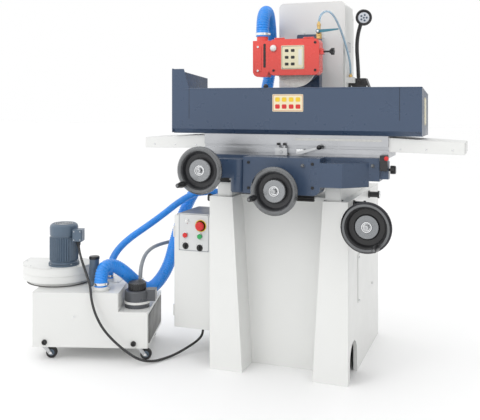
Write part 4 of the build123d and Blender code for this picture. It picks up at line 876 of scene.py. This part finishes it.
class GRINDER_OT_guard(bpy.types.Operator):
    """Label plate, cap, painted shade of the duct slot, and screws of the wheel guard."""

    bl_idname = "grinder.guard"
    bl_label = "Wheel guard fittings"

    def execute(self, context):
        screw = context.scene.grinder_sizes.screw
        label = label_finish("guard label", (0.8, 0.74, 0.52), (0.03, 0.03, 0.03), (0.001, 0.0, 1.342),
                             (0.053, 0.053), "X").done()
        plate("guard_label", (0.001, -0.124, 1.342), FRONT, X, (0.106, 0.106, 0.0024), "guard_cover",
              (label, "guard_red"), corner=0.004, bevel=0.0004)
        for row in range(3):
            for column in range(2):
                plate(f"guard_label_mark_{row}_{column}",
                      (-0.026 + 0.028 * column, -0.12635, 1.312 + 0.03 * row), FRONT, X,
                      (0.017, 0.013, 0.0006), "guard_cover", PLASTIC, corner=0.003, bevel=0.0002)
        plate("guard_label_note", (0.036, -0.12635, 1.342), FRONT, X, (0.016, 0.07, 0.0006), "guard_cover",
              PEARL, corner=0.002, bevel=0.0002)
        bolts("guard_label_rivet", lattice((-0.045, 0.047), -0.1262, (1.296, 1.388)), FRONT, 0.0024,
              "guard_cover", BRIGHT)
        turned("guard_cap", (-0.088, -0.128, 1.384), FRONT,
               [(0.0145, 0.0), (0.015, 0.002), (0.014, 0.0045), (0.0105, 0.0075), (0.005, 0.009),
                (0.001, 0.0092)], "guard_cover", PEARL, around=40)
        bolts("guard_screw", ((0.104, -0.1243, 1.406), (0.104, -0.1243, 1.284), (-0.088, -0.1243, 1.284)),
              FRONT, 0.0055, "guard_cover", PLASTIC)
        # A thin black strip paints the shade in the slot between the dust duct and the wheelhead.
        plate("duct_slot_shade", (-0.132, -0.12, 1.352), FRONT, X, (0.011, 0.108, 0.0012), "wheelhead", PLASTIC,
              corner=0.004, bevel=0.0004)
        plate("duct_lip", (-0.163, -0.12, 1.338), FRONT, X, (0.032, 0.12, 0.0022), "wheelhead", GUARD,
              corner=0.008, bevel=0.0012)
        bolts("duct_screw", lattice((-0.163,), -0.122, (1.392, 1.284)), FRONT, 0.005, "wheelhead", BRIGHT)
        for k, x in enumerate((-0.060, 0.074)):
            for side, word in ((-1, "left"), (1, "right")):
                turned(f"guard_hinge_pin_{word}_{k}", (x + side * 0.023, -0.122, 1.4275), side * X,
                       [(0.0022, 0.0), (0.0024, 0.0008), (0.0018, 0.0018), (0.0004, 0.002)], "guard_cover",
                       BRIGHT, around=20)
        turned("spindle_nose_ring", (HEAD_X, -0.0936, SPINDLE_Z), FRONT,
               [(0.03, 0.0), (0.03, 0.0012), (0.0288, 0.002), (0.025, 0.002)], "spindle", STEEL, ring=True)
        circle = 0.047
        for k in range(6):
            turn = k * math.pi / 3.0 + 0.5
            x, z = HEAD_X + circle * math.cos(turn), SPINDLE_Z + circle * math.sin(turn)
            bolt(f"quill_screw_{k}", (x, -0.058 + 0.0001, z), FRONT, 0.0042, "wheelhead", STEEL, 0.0015)
        bolts("slide_screw", lattice((-0.04, 0.05), 0.13, (1.44, 1.14)), FRONT, 0.0065, "wheelhead",
              PLASTIC)
        bolts("head_cover_screw", lattice((0.072, 0.154), 0.18, (1.452, 1.134)), FRONT, screw, "wheelhead",
              BRIGHT)
        turned("quill_wiper", (HEAD_X, 0.124, SPINDLE_Z), FRONT,
               [(0.0602, 0.0), (0.0625, 0.001), (0.0625, 0.007), (0.0602, 0.008)], "wheelhead", RUBBER,
               around=72, ring=True)
        turned("valve_hand_pin", (0.112, -0.111, 1.457), FRONT,
               [(0.0052, 0.0), (0.0052, 0.003), (0.0045, 0.004), (0.0012, 0.0042)], "valve_lever", BRIGHT,
               around=24)
        turned("valve_collar", (0.112, -0.09, 1.4362), Z,
               [(0.012, 0.0), (0.0128, 0.001), (0.0128, 0.008), (0.012, 0.009), (0.0085, 0.011)],
               "wheelhead", BRASS, around=40)
        return {"FINISHED"}


class GRINDER_OT_tray(bpy.types.Operator):
    """Folded lip, label plates and screws of the splash tray."""

    bl_idname = "grinder.tray"
    bl_label = "Splash tray fittings"

    def execute(self, context):
        lip_radius = 0.0028
        for name, start, stop, steps in (
                ("front", [-0.422, -0.3585, 1.200], [0.586, -0.3585, 1.200], 40),
                ("right", [0.5875, -0.356, 1.2000], [0.5875, -0.133, 1.1725], 24),
                ("left", [-0.4785, -0.356, 1.2868], [-0.4785, 0.038, 1.2552], 24)):
            swept(f"tray_{name}_lip", np.linspace(start, stop, steps), np.full(steps, lip_radius), "table",
                  TRAY, 16)
        label = label_finish("tray label", (0.78, 0.7, 0.48), (0.42, 0.05, 0.03), (0.047, 0.0, 1.139),
                             (0.066, 0.036), "X").done()
        plate("tray_label", (0.047, -0.36, 1.139), FRONT, X, (0.132, 0.072, 0.0012), "table",
              (label, "machine_white"), corner=0.004, bevel=0.0003)
        for row, look in enumerate(("red_knob", "yellow")):
            for k, x in enumerate((0.003, 0.032, 0.062, 0.091)):
                plate(f"tray_label_mark_{row}_{k}", (x, -0.3612, 1.124 + 0.029 * row), FRONT, X,
                      (0.02, 0.018, 0.0006), "table", (look, "machine_white"), corner=0.004, bevel=0.0002)
        end = label_finish("tray end label", (0.78, 0.72, 0.52), (0.05, 0.05, 0.05), (0.0, -0.245, 1.105),
                           (0.03, 0.055), "Y").done()
        plate("tray_end_label", (0.589, -0.245, 1.105), X, Y, (0.06, 0.11, 0.0012), "table",
              (end, "machine_white"), corner=0.004, bevel=0.0003)
        bolts("tray_foot_screw", lattice((-0.28, -0.08, 0.12, 0.32), -0.322, (1.01,)), Z, 0.006, "table",
              STEEL, 0.003)
        return {"FINISHED"}


class GRINDER_OT_table(bpy.types.Operator):
    """Dogs, levers, stops and scale of the table and chuck."""

    bl_idname = "grinder.table"
    bl_label = "Table fittings"

    def execute(self, context):
        bolts("dog_screw", lattice((-0.001, 0.026), -0.339, (0.962,)), Z, 0.0062, "table", PLASTIC, 0.01)
        turned("dog_face_screw", (0.014, -0.348, 0.936), FRONT,
               [(0.007, 0.0), (0.007, 0.003), (0.0062, 0.004), (0.0036, 0.004), (0.0034, 0.002)], "table",
               STEEL, around=28)
        turned("dog_lever_knob", (0.17, -0.348, 0.954), (0.86, -0.35, 0.36),
               [(0.0035, -0.004), (0.006, 0.0), (0.0095, 0.006), (0.0095, 0.012), (0.006, 0.018),
                (0.0015, 0.0195)], "table", PLASTIC, around=32)
        plate("dog_right_strap", (0.095, -0.344, 0.938), FRONT, X, (0.032, 0.02, 0.002), "table", BRIGHT,
              corner=0.002, bevel=0.0008)
        ticks = Finish("table scale", (0.62, 0.62, 0.6), 0.34, 0.6)
        split = ticks.node("SeparateXYZ")
        ticks.join(ticks.place, split.inputs[0])
        ticks_per_metre = 200.0
        wave = ticks.math("FRACT", ticks.math("MULTIPLY", split.outputs["X"], ticks_per_metre))
        fine = ticks.math("ABSOLUTE", ticks.math("SUBTRACT", wave, 0.5))
        tick = ticks.spread(fine, 0.08, 0.05)
        ticks.colour(ticks.mix(tick, ticks.mix(ticks.grain(30.0), (0.55, 0.55, 0.53), (0.66, 0.66, 0.64)),
                               (0.03, 0.03, 0.03)))
        plate("table_scale", (0.25, -0.33, 0.988), FRONT, X, (0.36, 0.01, 0.0008), "table",
              (ticks.done(), "turned_steel"), corner=0.001, bevel=0.0002)
        for k, x in enumerate((-0.155, 0.272)):
            plate(f"chuck_clamp_{k}", (x, -0.305, 1.022), FRONT, X, (0.036, 0.016, 0.006), "table", STEEL,
                  corner=0.003, bevel=0.0012)
        turned("chuck_lever_hub", (-0.062, -0.326, 1.046), FRONT,
               [(0.0128, 0.0), (0.0122, 0.0015), (0.008, 0.0024), (0.002, 0.0026)], "chuck_lever", BRIGHT,
               around=36)
        for side, near, far in (("left", -0.338, -0.629), ("right", 0.455, 0.746)):
            mid = (near + far) / 2
            plate(f"way_cover_end_{side}", (far + (0.0002 if far > 0 else -0.0002), -0.23, 0.9615),
                  X if far > 0 else -X, Y, (0.172, 0.042, 0.002), "table", WHITE, corner=0.003,
                  bevel=0.0008)
            bolts(f"way_cover_screw_{side}", lattice((mid - 0.1, mid, mid + 0.1), -0.32, (0.955,)), FRONT,
                  0.0035, "table", BRIGHT, 0.0015)
        return {"FINISHED"}


class GRINDER_OT_saddle(bpy.types.Operator):
    """Wipers, oil cups, bellows and end stop of the saddle and its ways."""

    bl_idname = "grinder.saddle"
    bl_label = "Saddle fittings"

    def execute(self, context):
        for side, x in (("left", -0.236), ("right", 0.236)):
            plate(f"way_wiper_{side}", (x, -0.345, 0.8135), FRONT, X, (0.07, 0.024, 0.003), "saddle",
                  RUBBER, corner=0.003, bevel=0.001)
            bolts(f"way_wiper_screw_{side}", lattice((x - 0.024, x + 0.024), -0.348, (0.8135,)), FRONT,
                  0.0038, "saddle", BRIGHT, 0.0015)
            plate(f"way_front_{side}", (x, -0.35, 0.77), FRONT, X, (0.058, 0.054, 0.0015), "base", WHITE,
                  corner=0.004, bevel=0.0006)
        rows = np.linspace(0.0, 0.025, 61)
        depth = 0.004 * (0.5 - 0.5 * np.cos(2 * math.pi * rows / 0.01))
        t = np.linspace(0, 2 * math.pi, 32, endpoint=False)
        wide = 0.05 * np.sign(np.cos(t)) * np.abs(np.cos(t)) ** 0.25
        deep = np.sign(np.sin(t)) * np.abs(np.sin(t)) ** 0.25
        grid = np.zeros((61, 32, 3))
        grid[..., 0] = 0.12 + wide[None, :]
        grid[..., 1] = -0.402 + (0.012 - depth)[:, None] * deep[None, :]
        grid[..., 2] = 0.767 - rows[:, None]
        skin("apron_bellows", grid, "saddle", RUBBER, turn_over=True, sharp=60.0)
        for name, at in (("left", (-0.330, -0.3450, 0.888)), ("middle", (0.130, -0.4300, 0.888)),
                         ("right", (0.395, -0.3450, 0.888))):
            turned(f"oil_cup_{name}", at, FRONT, [(0.007, 0.0), (0.007, 0.002), (0.0052, 0.003),
                                                  (0.0052, 0.009), (0.0062, 0.01), (0.005, 0.013),
                                                  (0.001, 0.014)], "saddle", RIM, around=28)
        bolts("apron_screw", ((-0.1, -0.43, 0.79), (0.17, -0.43, 0.8), (0.17, -0.43, 0.895),
                              (-0.1, -0.43, 0.895)), FRONT, 0.006, "saddle", PLASTIC)
        plate("end_stop_bracket", (0.44, -0.346, 0.9), FRONT, X, (0.03, 0.062, 0.012), "saddle", BLACK,
              corner=0.003, bevel=0.0012)
        turned("end_stop_cap", (0.452, -0.358, 0.92), FRONT,
               [(0.0085, 0.0), (0.009, 0.001), (0.009, 0.01), (0.0075, 0.013), (0.002, 0.014)], "saddle",
               RED_KNOB, around=32)
        for name, at, radius in (("cross", (0.034, -0.4515, 0.790), 0.0445),
                                 ("traverse", (-0.264, -0.5005, 0.867), 0.0415)):
            turned(f"{name}_boss_ring", at, Y, [(radius - 0.003, 0.0), (radius + 0.0005, 0.001),
                                                (radius + 0.0005, 0.006), (radius - 0.002, 0.007)],
                   "saddle", STEEL, around=72, ring=True)
        turned("lock_knob_cap", (0.482, -0.318, 0.872), X,
               [(0.0165, 0.0), (0.015, 0.0006), (0.008, 0.001), (0.001, 0.0011)], "lock_knob", PLASTIC,
               around=36)
        return {"FINISHED"}


class GRINDER_OT_pedestal(bpy.types.Operator):
    """Cover screws and caps of the pedestal and column."""

    bl_idname = "grinder.pedestal"
    bl_label = "Pedestal and column fittings"

    def execute(self, context):
        for side_y, place in ((-1, "front"), (1, "rear")):
            for side_z, height in ((-1, "low"), (1, "high")):
                at = (0.3055, 0.004 + side_y * 0.159, 0.388 + side_z * 0.092)
                bolt(f"side_cover_screw_{place}_{height}", at, X, 0.0052, "base", BRIGHT, 0.0025)
        for k, (x, y) in enumerate(((0.350, 1), (0.350, -1), (-0.350, 1), (-0.350, -1))):
            depth = 0.1 if y > 0 else -0.25
            turned(f"lifting_cap_{k}", (x + math.copysign(0.0002, x), depth, 0.718), X if x > 0 else -X,
                   [(0.016, 0.0), (0.0165, 0.001), (0.015, 0.003), (0.006, 0.0034), (0.005, 0.002)], "base",
                   BRIGHT, around=40)
        turned("elevating_boss_ring", (0.402, -0.474, 0.671), Y,
               [(0.0285, 0.0), (0.0308, 0.001), (0.0308, 0.008), (0.029, 0.009)], "base", STEEL, around=64,
               ring=True)
        plate("feed_housing_lid", (0.375, -0.365, 0.7), Z, X, (0.11, 0.12, 0.0022), "base", BLACK,
              corner=0.01, bevel=0.0008)
        bolts("feed_lid_screw", [(x, y, 0.7022) for y in (-0.412, -0.318) for x in (0.328, 0.422)], Z,
              0.0036, "base", BRIGHT)
        for k, z in enumerate((0.780, 1.100, 1.420, 1.560)):
            for side, word in ((-1, "left"), (1, "right")):
                bolt(f"rear_cover_screw_{word}_{k}", (0.005 + side * 0.155, 0.425, z), side * X, 0.0048,
                     "base", BRIGHT)
        label = label_finish("column label", (0.6, 0.61, 0.62), (0.03, 0.05, 0.12), (0.0, 0.29, 1.41),
                             (0.035, 0.025), "Y").done()
        plate("column_label", (0.17, 0.29, 1.41), X, Y, (0.07, 0.05, 0.001), "base",
              (label, "turned_steel"), corner=0.003, bevel=0.0003)
        bolts("pedestal_top_plug", lattice((-0.262, 0.262), -0.327, (0.74,)), Z, 0.01, "base", PLASTIC,
              0.003)
        turned("return_spigot", (-0.3, 0.06, 0.7), -X,
               [(0.024, 0.0), (0.024, 0.004), (0.018, 0.006), (0.0165, 0.02), (0.0165, 0.0245)], "base",
               STEEL, around=48)
        return {"FINISHED"}


class GRINDER_OT_cabinet(bpy.types.Operator):
    """Control plate, bezels, lock and hinges of the control cabinet."""

    bl_idname = "grinder.cabinet"
    bl_label = "Cabinet fittings"

    def execute(self, context):
        face = -0.252
        label = label_finish("control plate", (0.66, 0.67, 0.67), (0.05, 0.07, 0.1), (-0.423, 0.0, 0.556),
                             (0.075, 0.085), "X").done()
        plate("control_plate", (-0.423, face, 0.556), FRONT, X, (0.15, 0.17, 0.0012), "cabinet_door",
              (label, "turned_steel"), corner=0.004, bevel=0.0004)
        for name, x, z, radius, look in (
                ("stop", -0.463, 0.543, 0.0150, "bright"), ("start", -0.392, 0.541, 0.0150, "bright"),
                ("selector_left", -0.463, 0.494, 0.0150, "plastic"),
                ("selector_right", -0.394, 0.489, 0.0150, "plastic"),
                ("pilot", -0.455, 0.606, 0.0120, "bright"), ("emergency", -0.389, 0.588, 0.0270, "yellow")):
            turned(f"bezel_{name}", (x, face, z), FRONT,
                   [(radius, 0.0), (radius, 0.0022), (radius - 0.0016, 0.0034), (radius - 0.0034, 0.0034),
                    (radius - 0.004, 0.0012)], "cabinet_door", (look, "turned_steel"), around=40)
        turned("pilot_lens", (-0.455, face - 0.004, 0.606), FRONT,
               [(0.008, 0.0), (0.008, 0.003), (0.0062, 0.0055), (0.003, 0.0068), (0.0005, 0.0071)],
               "cabinet_door", PEARL, around=32)
        for name, x, z, look, slot in (("stop", -0.463, 0.543, "red_knob", "red_plastic"),
                                       ("start", -0.392, 0.541, "green_knob", "green_plastic")):
            turned(f"{name}_button_cap", (x, face - 0.006, z), FRONT,
                   [(0.0095, 0.0), (0.009, 0.0008), (0.005, 0.0003), (0.0005, 0.0001)], f"{name}_button",
                   (look, slot), around=32)
        turned("emergency_crown", (-0.389, face - 0.01, 0.588), FRONT,
               [(0.0192, -0.001), (0.015, 0.0008), (0.014, 0.0002), (0.008, 0.0016), (0.0005, 0.002)],
               "emergency_stop", RED_KNOB, around=40)
        for name, x, z in (("left", -0.463, 0.494), ("right", -0.394, 0.489)):
            plate(f"selector_{name}_mark", (x, face - 0.006, z + 0.006), FRONT, X, (0.0016, 0.007, 0.0005),
                  f"selector_{name}", PEARL, corner=0.0006, bevel=0.0001)
            for k, turn in enumerate((-0.8, 0.8)):
                plate(f"selector_{name}_stop_{k}", (x + 0.019 * math.sin(turn), face - 0.0012,
                                                    z + 0.019 * math.cos(turn)), FRONT, X,
                      (0.0026, 0.0026, 0.0004), "cabinet_door", PLASTIC, corner=0.0012, bevel=0.0001)
        turned("door_lock", (-0.322, face, 0.378), FRONT,
               [(0.012, 0.0), (0.012, 0.002), (0.0105, 0.004), (0.006, 0.004), (0.0055, 0.0025)],
               "cabinet_door", BRIGHT, around=36)
        for k, z in enumerate((0.224, 0.580)):
            turned(f"door_hinge_pin_{k}", (-0.52, -0.252, z), Z,
                   [(0.003, 0.0), (0.0034, 0.0008), (0.0028, 0.0022), (0.0006, 0.0026)], "base", BRIGHT,
                   around=24)
        for k in range(7):
            plate(f"cabinet_louvre_{k}", (-0.52, -0.1, 0.5 + 0.014 * k), -X, Y, (0.12, 0.007, 0.003),
                  "base", WHITE, corner=0.0034, bevel=0.0014)
        # A dark grey sheet on the cabinet's white top: painted shade on that top.
        plate("cabinet_top_shade_sheet", (-0.41, -0.101, 0.63), Z, X, (0.216, 0.256, 0.0025), "base", CABINET_TOP_SHADE,
              corner=0.004, bevel=0.001)
        bolts("control_plate_rivet", lattice((-0.49, -0.356), face - 0.0012, (0.634, 0.478)), FRONT, 0.002,
              "cabinet_door", BRIGHT)
        return {"FINISHED"}


def arc(centre, radius, start, stop, steps):
    """Points of an arc, in degrees, without its last one."""
    t = np.radians(np.linspace(start, stop, steps, endpoint=False))
    return np.stack([centre[0] + radius * np.cos(t), centre[1] + radius * np.sin(t)], -1)


def volute_outline(grow=0.0):
    """The scroll's plan outline on the floor: three arcs and the square outlet, moved out by grow."""
    plan = np.concatenate([arc((0.06, 0.2271), 0.1591, -90.0, -17.2, 22),
                           arc((0.1209, 0.2082), 0.0954, -17.2, 105.8, 26),
                           np.linspace([0.095, 0.3], [-0.111, 0.3], 16, endpoint=False),
                           np.linspace([-0.111, 0.3], [-0.111, 0.2], 8, endpoint=False),
                           arc((0.06, 0.2448), 0.1768, 194.7, 270.0, 26)])
    along = np.roll(plan, -1, 0) - np.roll(plan, 1, 0)
    outward = np.stack([along[:, 1], -along[:, 0]], -1) / np.linalg.norm(along, axis=1, keepdims=True)
    plan = plan + grow * outward
    return UNIT_ORIGIN + plan[:, :1] * UNIT_X + plan[:, 1:] * UNIT_Y


def carried(name, outline, profile, body, look):
    """A band along a closed level outline: P(h, t) = outline(t) + offset(h) outward(t) + z(h) Z."""
    along = np.roll(outline, -1, 0) - np.roll(outline, 1, 0)
    outward = np.cross(along, Z)
    outward /= np.linalg.norm(outward, axis=1, keepdims=True)
    grid = np.stack([outline + offset * outward + height * Z for offset, height in profile])
    return skin(name, grid, body, look, ring=True)


class GRINDER_OT_extractor(bpy.types.Operator):
    """Fins, cowl, lids, drain and pump details of the extractor unit."""

    bl_idname = "grinder.extractor"
    bl_label = "Extractor fittings"

    def execute(self, context):
        fins = context.scene.grinder_sizes.fins
        fan = (0.095, 0.165)
        low = unit(*fan, 0.0)
        turned("blower_fins", low + 0.412 * Z, Z, [(0.0598, 0.0), (0.0655, 0.002), (0.0655, 0.108),
                                                   (0.0598, 0.11)], "base", MOTOR, around=6 * fins,
               lobes=fins, depth=0.0056, ring=True)
        turned("blower_cowl", low + 0.528 * Z, Z, [(0.06, 0.0), (0.064, 0.001), (0.0648, 0.036),
                                                   (0.062, 0.046), (0.054, 0.0525), (0.05, 0.0535),
                                                   (0.045, 0.05), (0.001, 0.05)], "base", MOTOR, around=96)
        for k, radius in enumerate((0.010, 0.020, 0.030, 0.040)):
            turned(f"cowl_grille_{k}", low + 0.5795 * Z, Z,
                   [(radius + 0.0014, 0.0), (radius + 0.0014, 0.0016), (radius - 0.0014, 0.0016),
                    (radius - 0.0014, 0.0)], "base", STEEL, around=48, ring=True)
        turned("blower_flange", low + 0.3992 * Z, Z, [(0.06, 0.0), (0.069, 0.001), (0.069, 0.006),
                                                      (0.064, 0.01), (0.06, 0.012)], "base", MOTOR,
               around=72, lobes=8, depth=0.0022, ring=True)
        for k in range(4):
            turn = math.pi / 4 + k * math.pi / 2
            at = unit(fan[0] + 0.066 * math.cos(turn), fan[1] + 0.066 * math.sin(turn), 0.399)
            bolt(f"blower_flange_screw_{k}", at, Z, 0.0042, "base", STEEL)
        plate("terminal_lid", unit(0.172, 0.1079, 0.533), -UNIT_Y, UNIT_X, (0.04, 0.05, 0.003), "base",
              MOTOR, corner=0.004, bevel=0.0012)
        bolts("terminal_lid_screw", [unit(0.172 + x, 0.1049, 0.533 + z) for z in (-0.019,
                0.019) for x in (-0.014, 0.014)], -UNIT_Y, 0.0022, "base", BRIGHT)
        for name, profile, look in (
                ("lid", [(-0.0010, 0.3870), (0.0020, 0.3876), (0.0020, 0.3898), (-0.0010, 0.3904)], TANK),
                ("seam", [(-0.0010, 0.3500), (0.0014, 0.3504), (0.0014, 0.3526), (-0.0010, 0.3530)], TANK),
                ("foot", [(-0.0230, 0.3020), (-0.0170, 0.3020), (-0.0170, 0.3050), (-0.0230, 0.3056)],
                 GREY_FOOT)):
            carried("volute_" + name, volute_outline(), profile, "base", look)
        bolts("volute_screw", volute_outline(-0.012)[::14] + 0.39 * Z, Z, 0.0036, "base", BRIGHT, 0.0018)
        stub = unit(0.246, 0.13, 0.0)
        turned("filter_cap", stub + 0.424 * Z, Z, [(0.022, 0.0), (0.024, 0.001), (0.024, 0.01),
                                                   (0.0215, 0.013), (0.001, 0.0145)], "base", PLASTIC,
               around=48)
        turned("filter_ribs", stub + 0.33 * Z, Z, [(0.0219, 0.0), (0.0238, 0.001), (0.0238, 0.06),
                                                   (0.0219, 0.061)], "base", MOTOR, around=144, lobes=24,
               depth=0.0017, ring=True)
        turned("tank_collar_ring", TANK_COLLAR - 0.013 * Z, Z,
               [(0.0361, 0.0), (0.0385, 0.001), (0.0385, 0.01), (0.0361, 0.011)], "base", PEARL, around=56,
               ring=True)
        plate("tank_lid", unit(0.26, 0.27, 0.302), Z, UNIT_X, (0.18, 0.17, 0.003), "base", TANK,
              corner=0.01, bevel=0.001)
        bolts("tank_lid_screw", [unit(x, y, 0.305) for x,
                                 y in ((0.18, 0.195), (0.34, 0.345), (0.18, 0.345), (0.34, 0.195))], Z,
              0.004, "base", BRIGHT)
        for name, x in (("left", 0.056), ("right", 0.452)):
            turned(f"drain_plug_{name}", unit(x, 0.0, 0.082), -UNIT_Y,
                   [(0.0125, 0.0), (0.0125, 0.006), (0.0105, 0.009), (0.0062, 0.009), (0.0055, 0.005)],
                   "base", PLASTIC, around=48, lobes=12, depth=0.0012)
        bolt("level_plug", unit(0.19, 0.0, 0.196), -UNIT_Y, 0.004, "base", BRIGHT)
        # A dark olive sheet on the tank's white right side: painted shade on that side.
        olive = enamel("olive side shade", (0.03, 0.032, 0.022), 0.42).done()
        plate("tank_side_shade", unit(0.515, 0.19, 0.14), UNIT_X, UNIT_Y, (0.34, 0.13, 0.002), "base",
              (olive, "black_paint"), corner=0.01, bevel=0.001)
        pump = unit(0.45, 0.1, 0.0)
        turned("pump_ring", pump + 0.238 * Z, Z, [(0.056, 0.0), (0.059, 0.001), (0.059, 0.01),
                                                  (0.056, 0.011)], "base", PEARL_RING, around=72, ring=True)
        turned("pump_motor_cap", pump + 0.296 * Z, Z,
               [(0.0382, 0.0), (0.0405, 0.001), (0.0405, 0.026), (0.037, 0.034), (0.025, 0.038),
                (0.001, 0.039)], "base", PLASTIC, around=144, lobes=24, depth=0.0016)
        for name in ("front_left", "front_right", "rear_left", "rear_right"):
            right, rear = "right" in name, "rear" in name
            x = 0.045 + (0.425 if right else 0.0) + (0.0 if rear else 0.03)
            y = 0.345 if rear else 0.045
            body = ("caster_fork_right" if right else "caster_fork_left") if not rear else "base"
            for side, word in ((-1, "out"), (1, "in")):
                turned(f"caster_nut_{name}_{word}", unit(x, y + side * 0.0142, AXLE_Z), side * UNIT_Y,
                       [(0.0062, 0.0), (0.0062, 0.004), (0.0052, 0.005), (0.001, 0.0052)], body, BRIGHT,
                       around=36, lobes=6, depth=0.0007)
            turned(f"caster_hub_{name}", unit(x, y - 0.0093, AXLE_Z), UNIT_Y,
                   [(0.014, 0.0), (0.015, 0.0006), (0.015, 0.018), (0.014, 0.0186)], f"caster_{name}",
                   MOTOR, around=40)
        return {"FINISHED"}


class GRINDER_OT_lamp(bpy.types.Operator):
    """Lens ring, light chips and flexible neck of the work lamp."""

    bl_idname = "grinder.lamp"
    bl_label = "Work lamp"

    def execute(self, context):
        face = np.array([0.2, -0.93, -0.3])
        face /= np.linalg.norm(face)
        neck = np.array([0.252, 0.232, 1.556]) + face * 0.0123
        turned("lamp_bezel", neck + 0.0342 * face, face,
               [(0.0372, -0.006), (0.0385, -0.004), (0.0385, 0.0015), (0.0355, 0.003), (0.0275, 0.0022),
                (0.0265, 0.0004), (0.001, 0.0003)], "lamp_head", LAMP, around=64)
        turned("lamp_lens", neck + 0.0346 * face, face,
               [(0.0262, 0.0), (0.0258, 0.0008), (0.016, 0.0018), (0.001, 0.0022)], "lamp_head", LENS,
               around=48)
        _, lens_side, lens_up = basis(face)
        for k in range(6):
            turn = k * math.pi / 2.5
            ring = 0.0135 if k < 5 else 0.0
            offset = ring * (math.cos(turn) * lens_side + math.sin(turn) * lens_up)
            turned(f"lamp_light_{k}", neck + 0.0362 * face + offset, face,
                   [(0.0048, 0.0), (0.0046, 0.001), (0.003, 0.0016), (0.0004, 0.0018)], "lamp_head", MOTOR,
                   around=20)
        turned("lamp_fins", neck + 0.009 * face, face,
               [(0.015, 0.0), (0.03, 0.001), (0.0345, 0.006), (0.0345, 0.008)], "lamp_head", LAMP,
               around=120, lobes=20, depth=0.002)
        route = [(0.215, 0.3, 1.258), (0.212, 0.3, 1.33), (0.207, 0.296, 1.4), (0.213, 0.284, 1.465),
                 (0.233, 0.26, 1.52), (0.252, 0.232, 1.556)]
        path, along = resampled(smooth_line("neck_line", route), 0.001)
        keep = (along > 0.004) & (along < along[-1] - 0.012)
        path, along = path[keep], along[keep]
        radii = 0.0084 + 0.0012 * np.abs(np.sin(math.pi * along / 0.006)) ** 0.7
        swept("lamp_neck", path, radii, "base", LAMP, around=24)
        plate("lamp_switch", (0.228, 0.275, 1.238), FRONT, X, (0.02, 0.014, 0.004), "base", PLASTIC,
              corner=0.002, bevel=0.001)
        bolts("lamp_base_screw", lattice((0.186, 0.262), 0.275, (1.218,)), FRONT, 0.0032, "base", BRIGHT)
        return {"FINISHED"}


OPERATORS = (GRINDER_OT_stage, GRINDER_OT_hoses, GRINDER_OT_finishes, GRINDER_OT_guard,
             GRINDER_OT_handwheels, GRINDER_OT_tray, GRINDER_OT_table, GRINDER_OT_saddle,
             GRINDER_OT_pedestal, GRINDER_OT_cabinet, GRINDER_OT_extractor, GRINDER_OT_lamp)


class GRINDER_PT_panel(bpy.types.Panel):
    """Everything that dresses the grinder."""

    bl_label = "Surface grinder"
    bl_idname = "GRINDER_PT_panel"
    bl_space_type = "VIEW_3D"
    bl_region_type = "UI"
    bl_category = "Grinder"

    def draw(self, context):
        for group in (context.scene.grinder_paint, context.scene.grinder_sizes):
            for name in group.__annotations__:
                self.layout.prop(group, name)
        for operator in OPERATORS:
            self.layout.operator(operator.bl_idname)


CLASSES = (GrinderPaint, GrinderSizes, *OPERATORS, GRINDER_PT_panel)


def register():
    for entry in CLASSES:
        bpy.utils.register_class(entry)
    bpy.types.Scene.grinder_paint = bpy.props.PointerProperty(type=GrinderPaint)
    bpy.types.Scene.grinder_sizes = bpy.props.PointerProperty(type=GrinderSizes)


def unregister():
    del bpy.types.Scene.grinder_sizes
    del bpy.types.Scene.grinder_paint
    for entry in reversed(CLASSES):
        bpy.utils.unregister_class(entry)


def main():
    register()
    for operator in OPERATORS:
        group, name = operator.bl_idname.split(".")
        getattr(getattr(bpy.ops, group), name)()


if __name__ == "__main__":
    main()
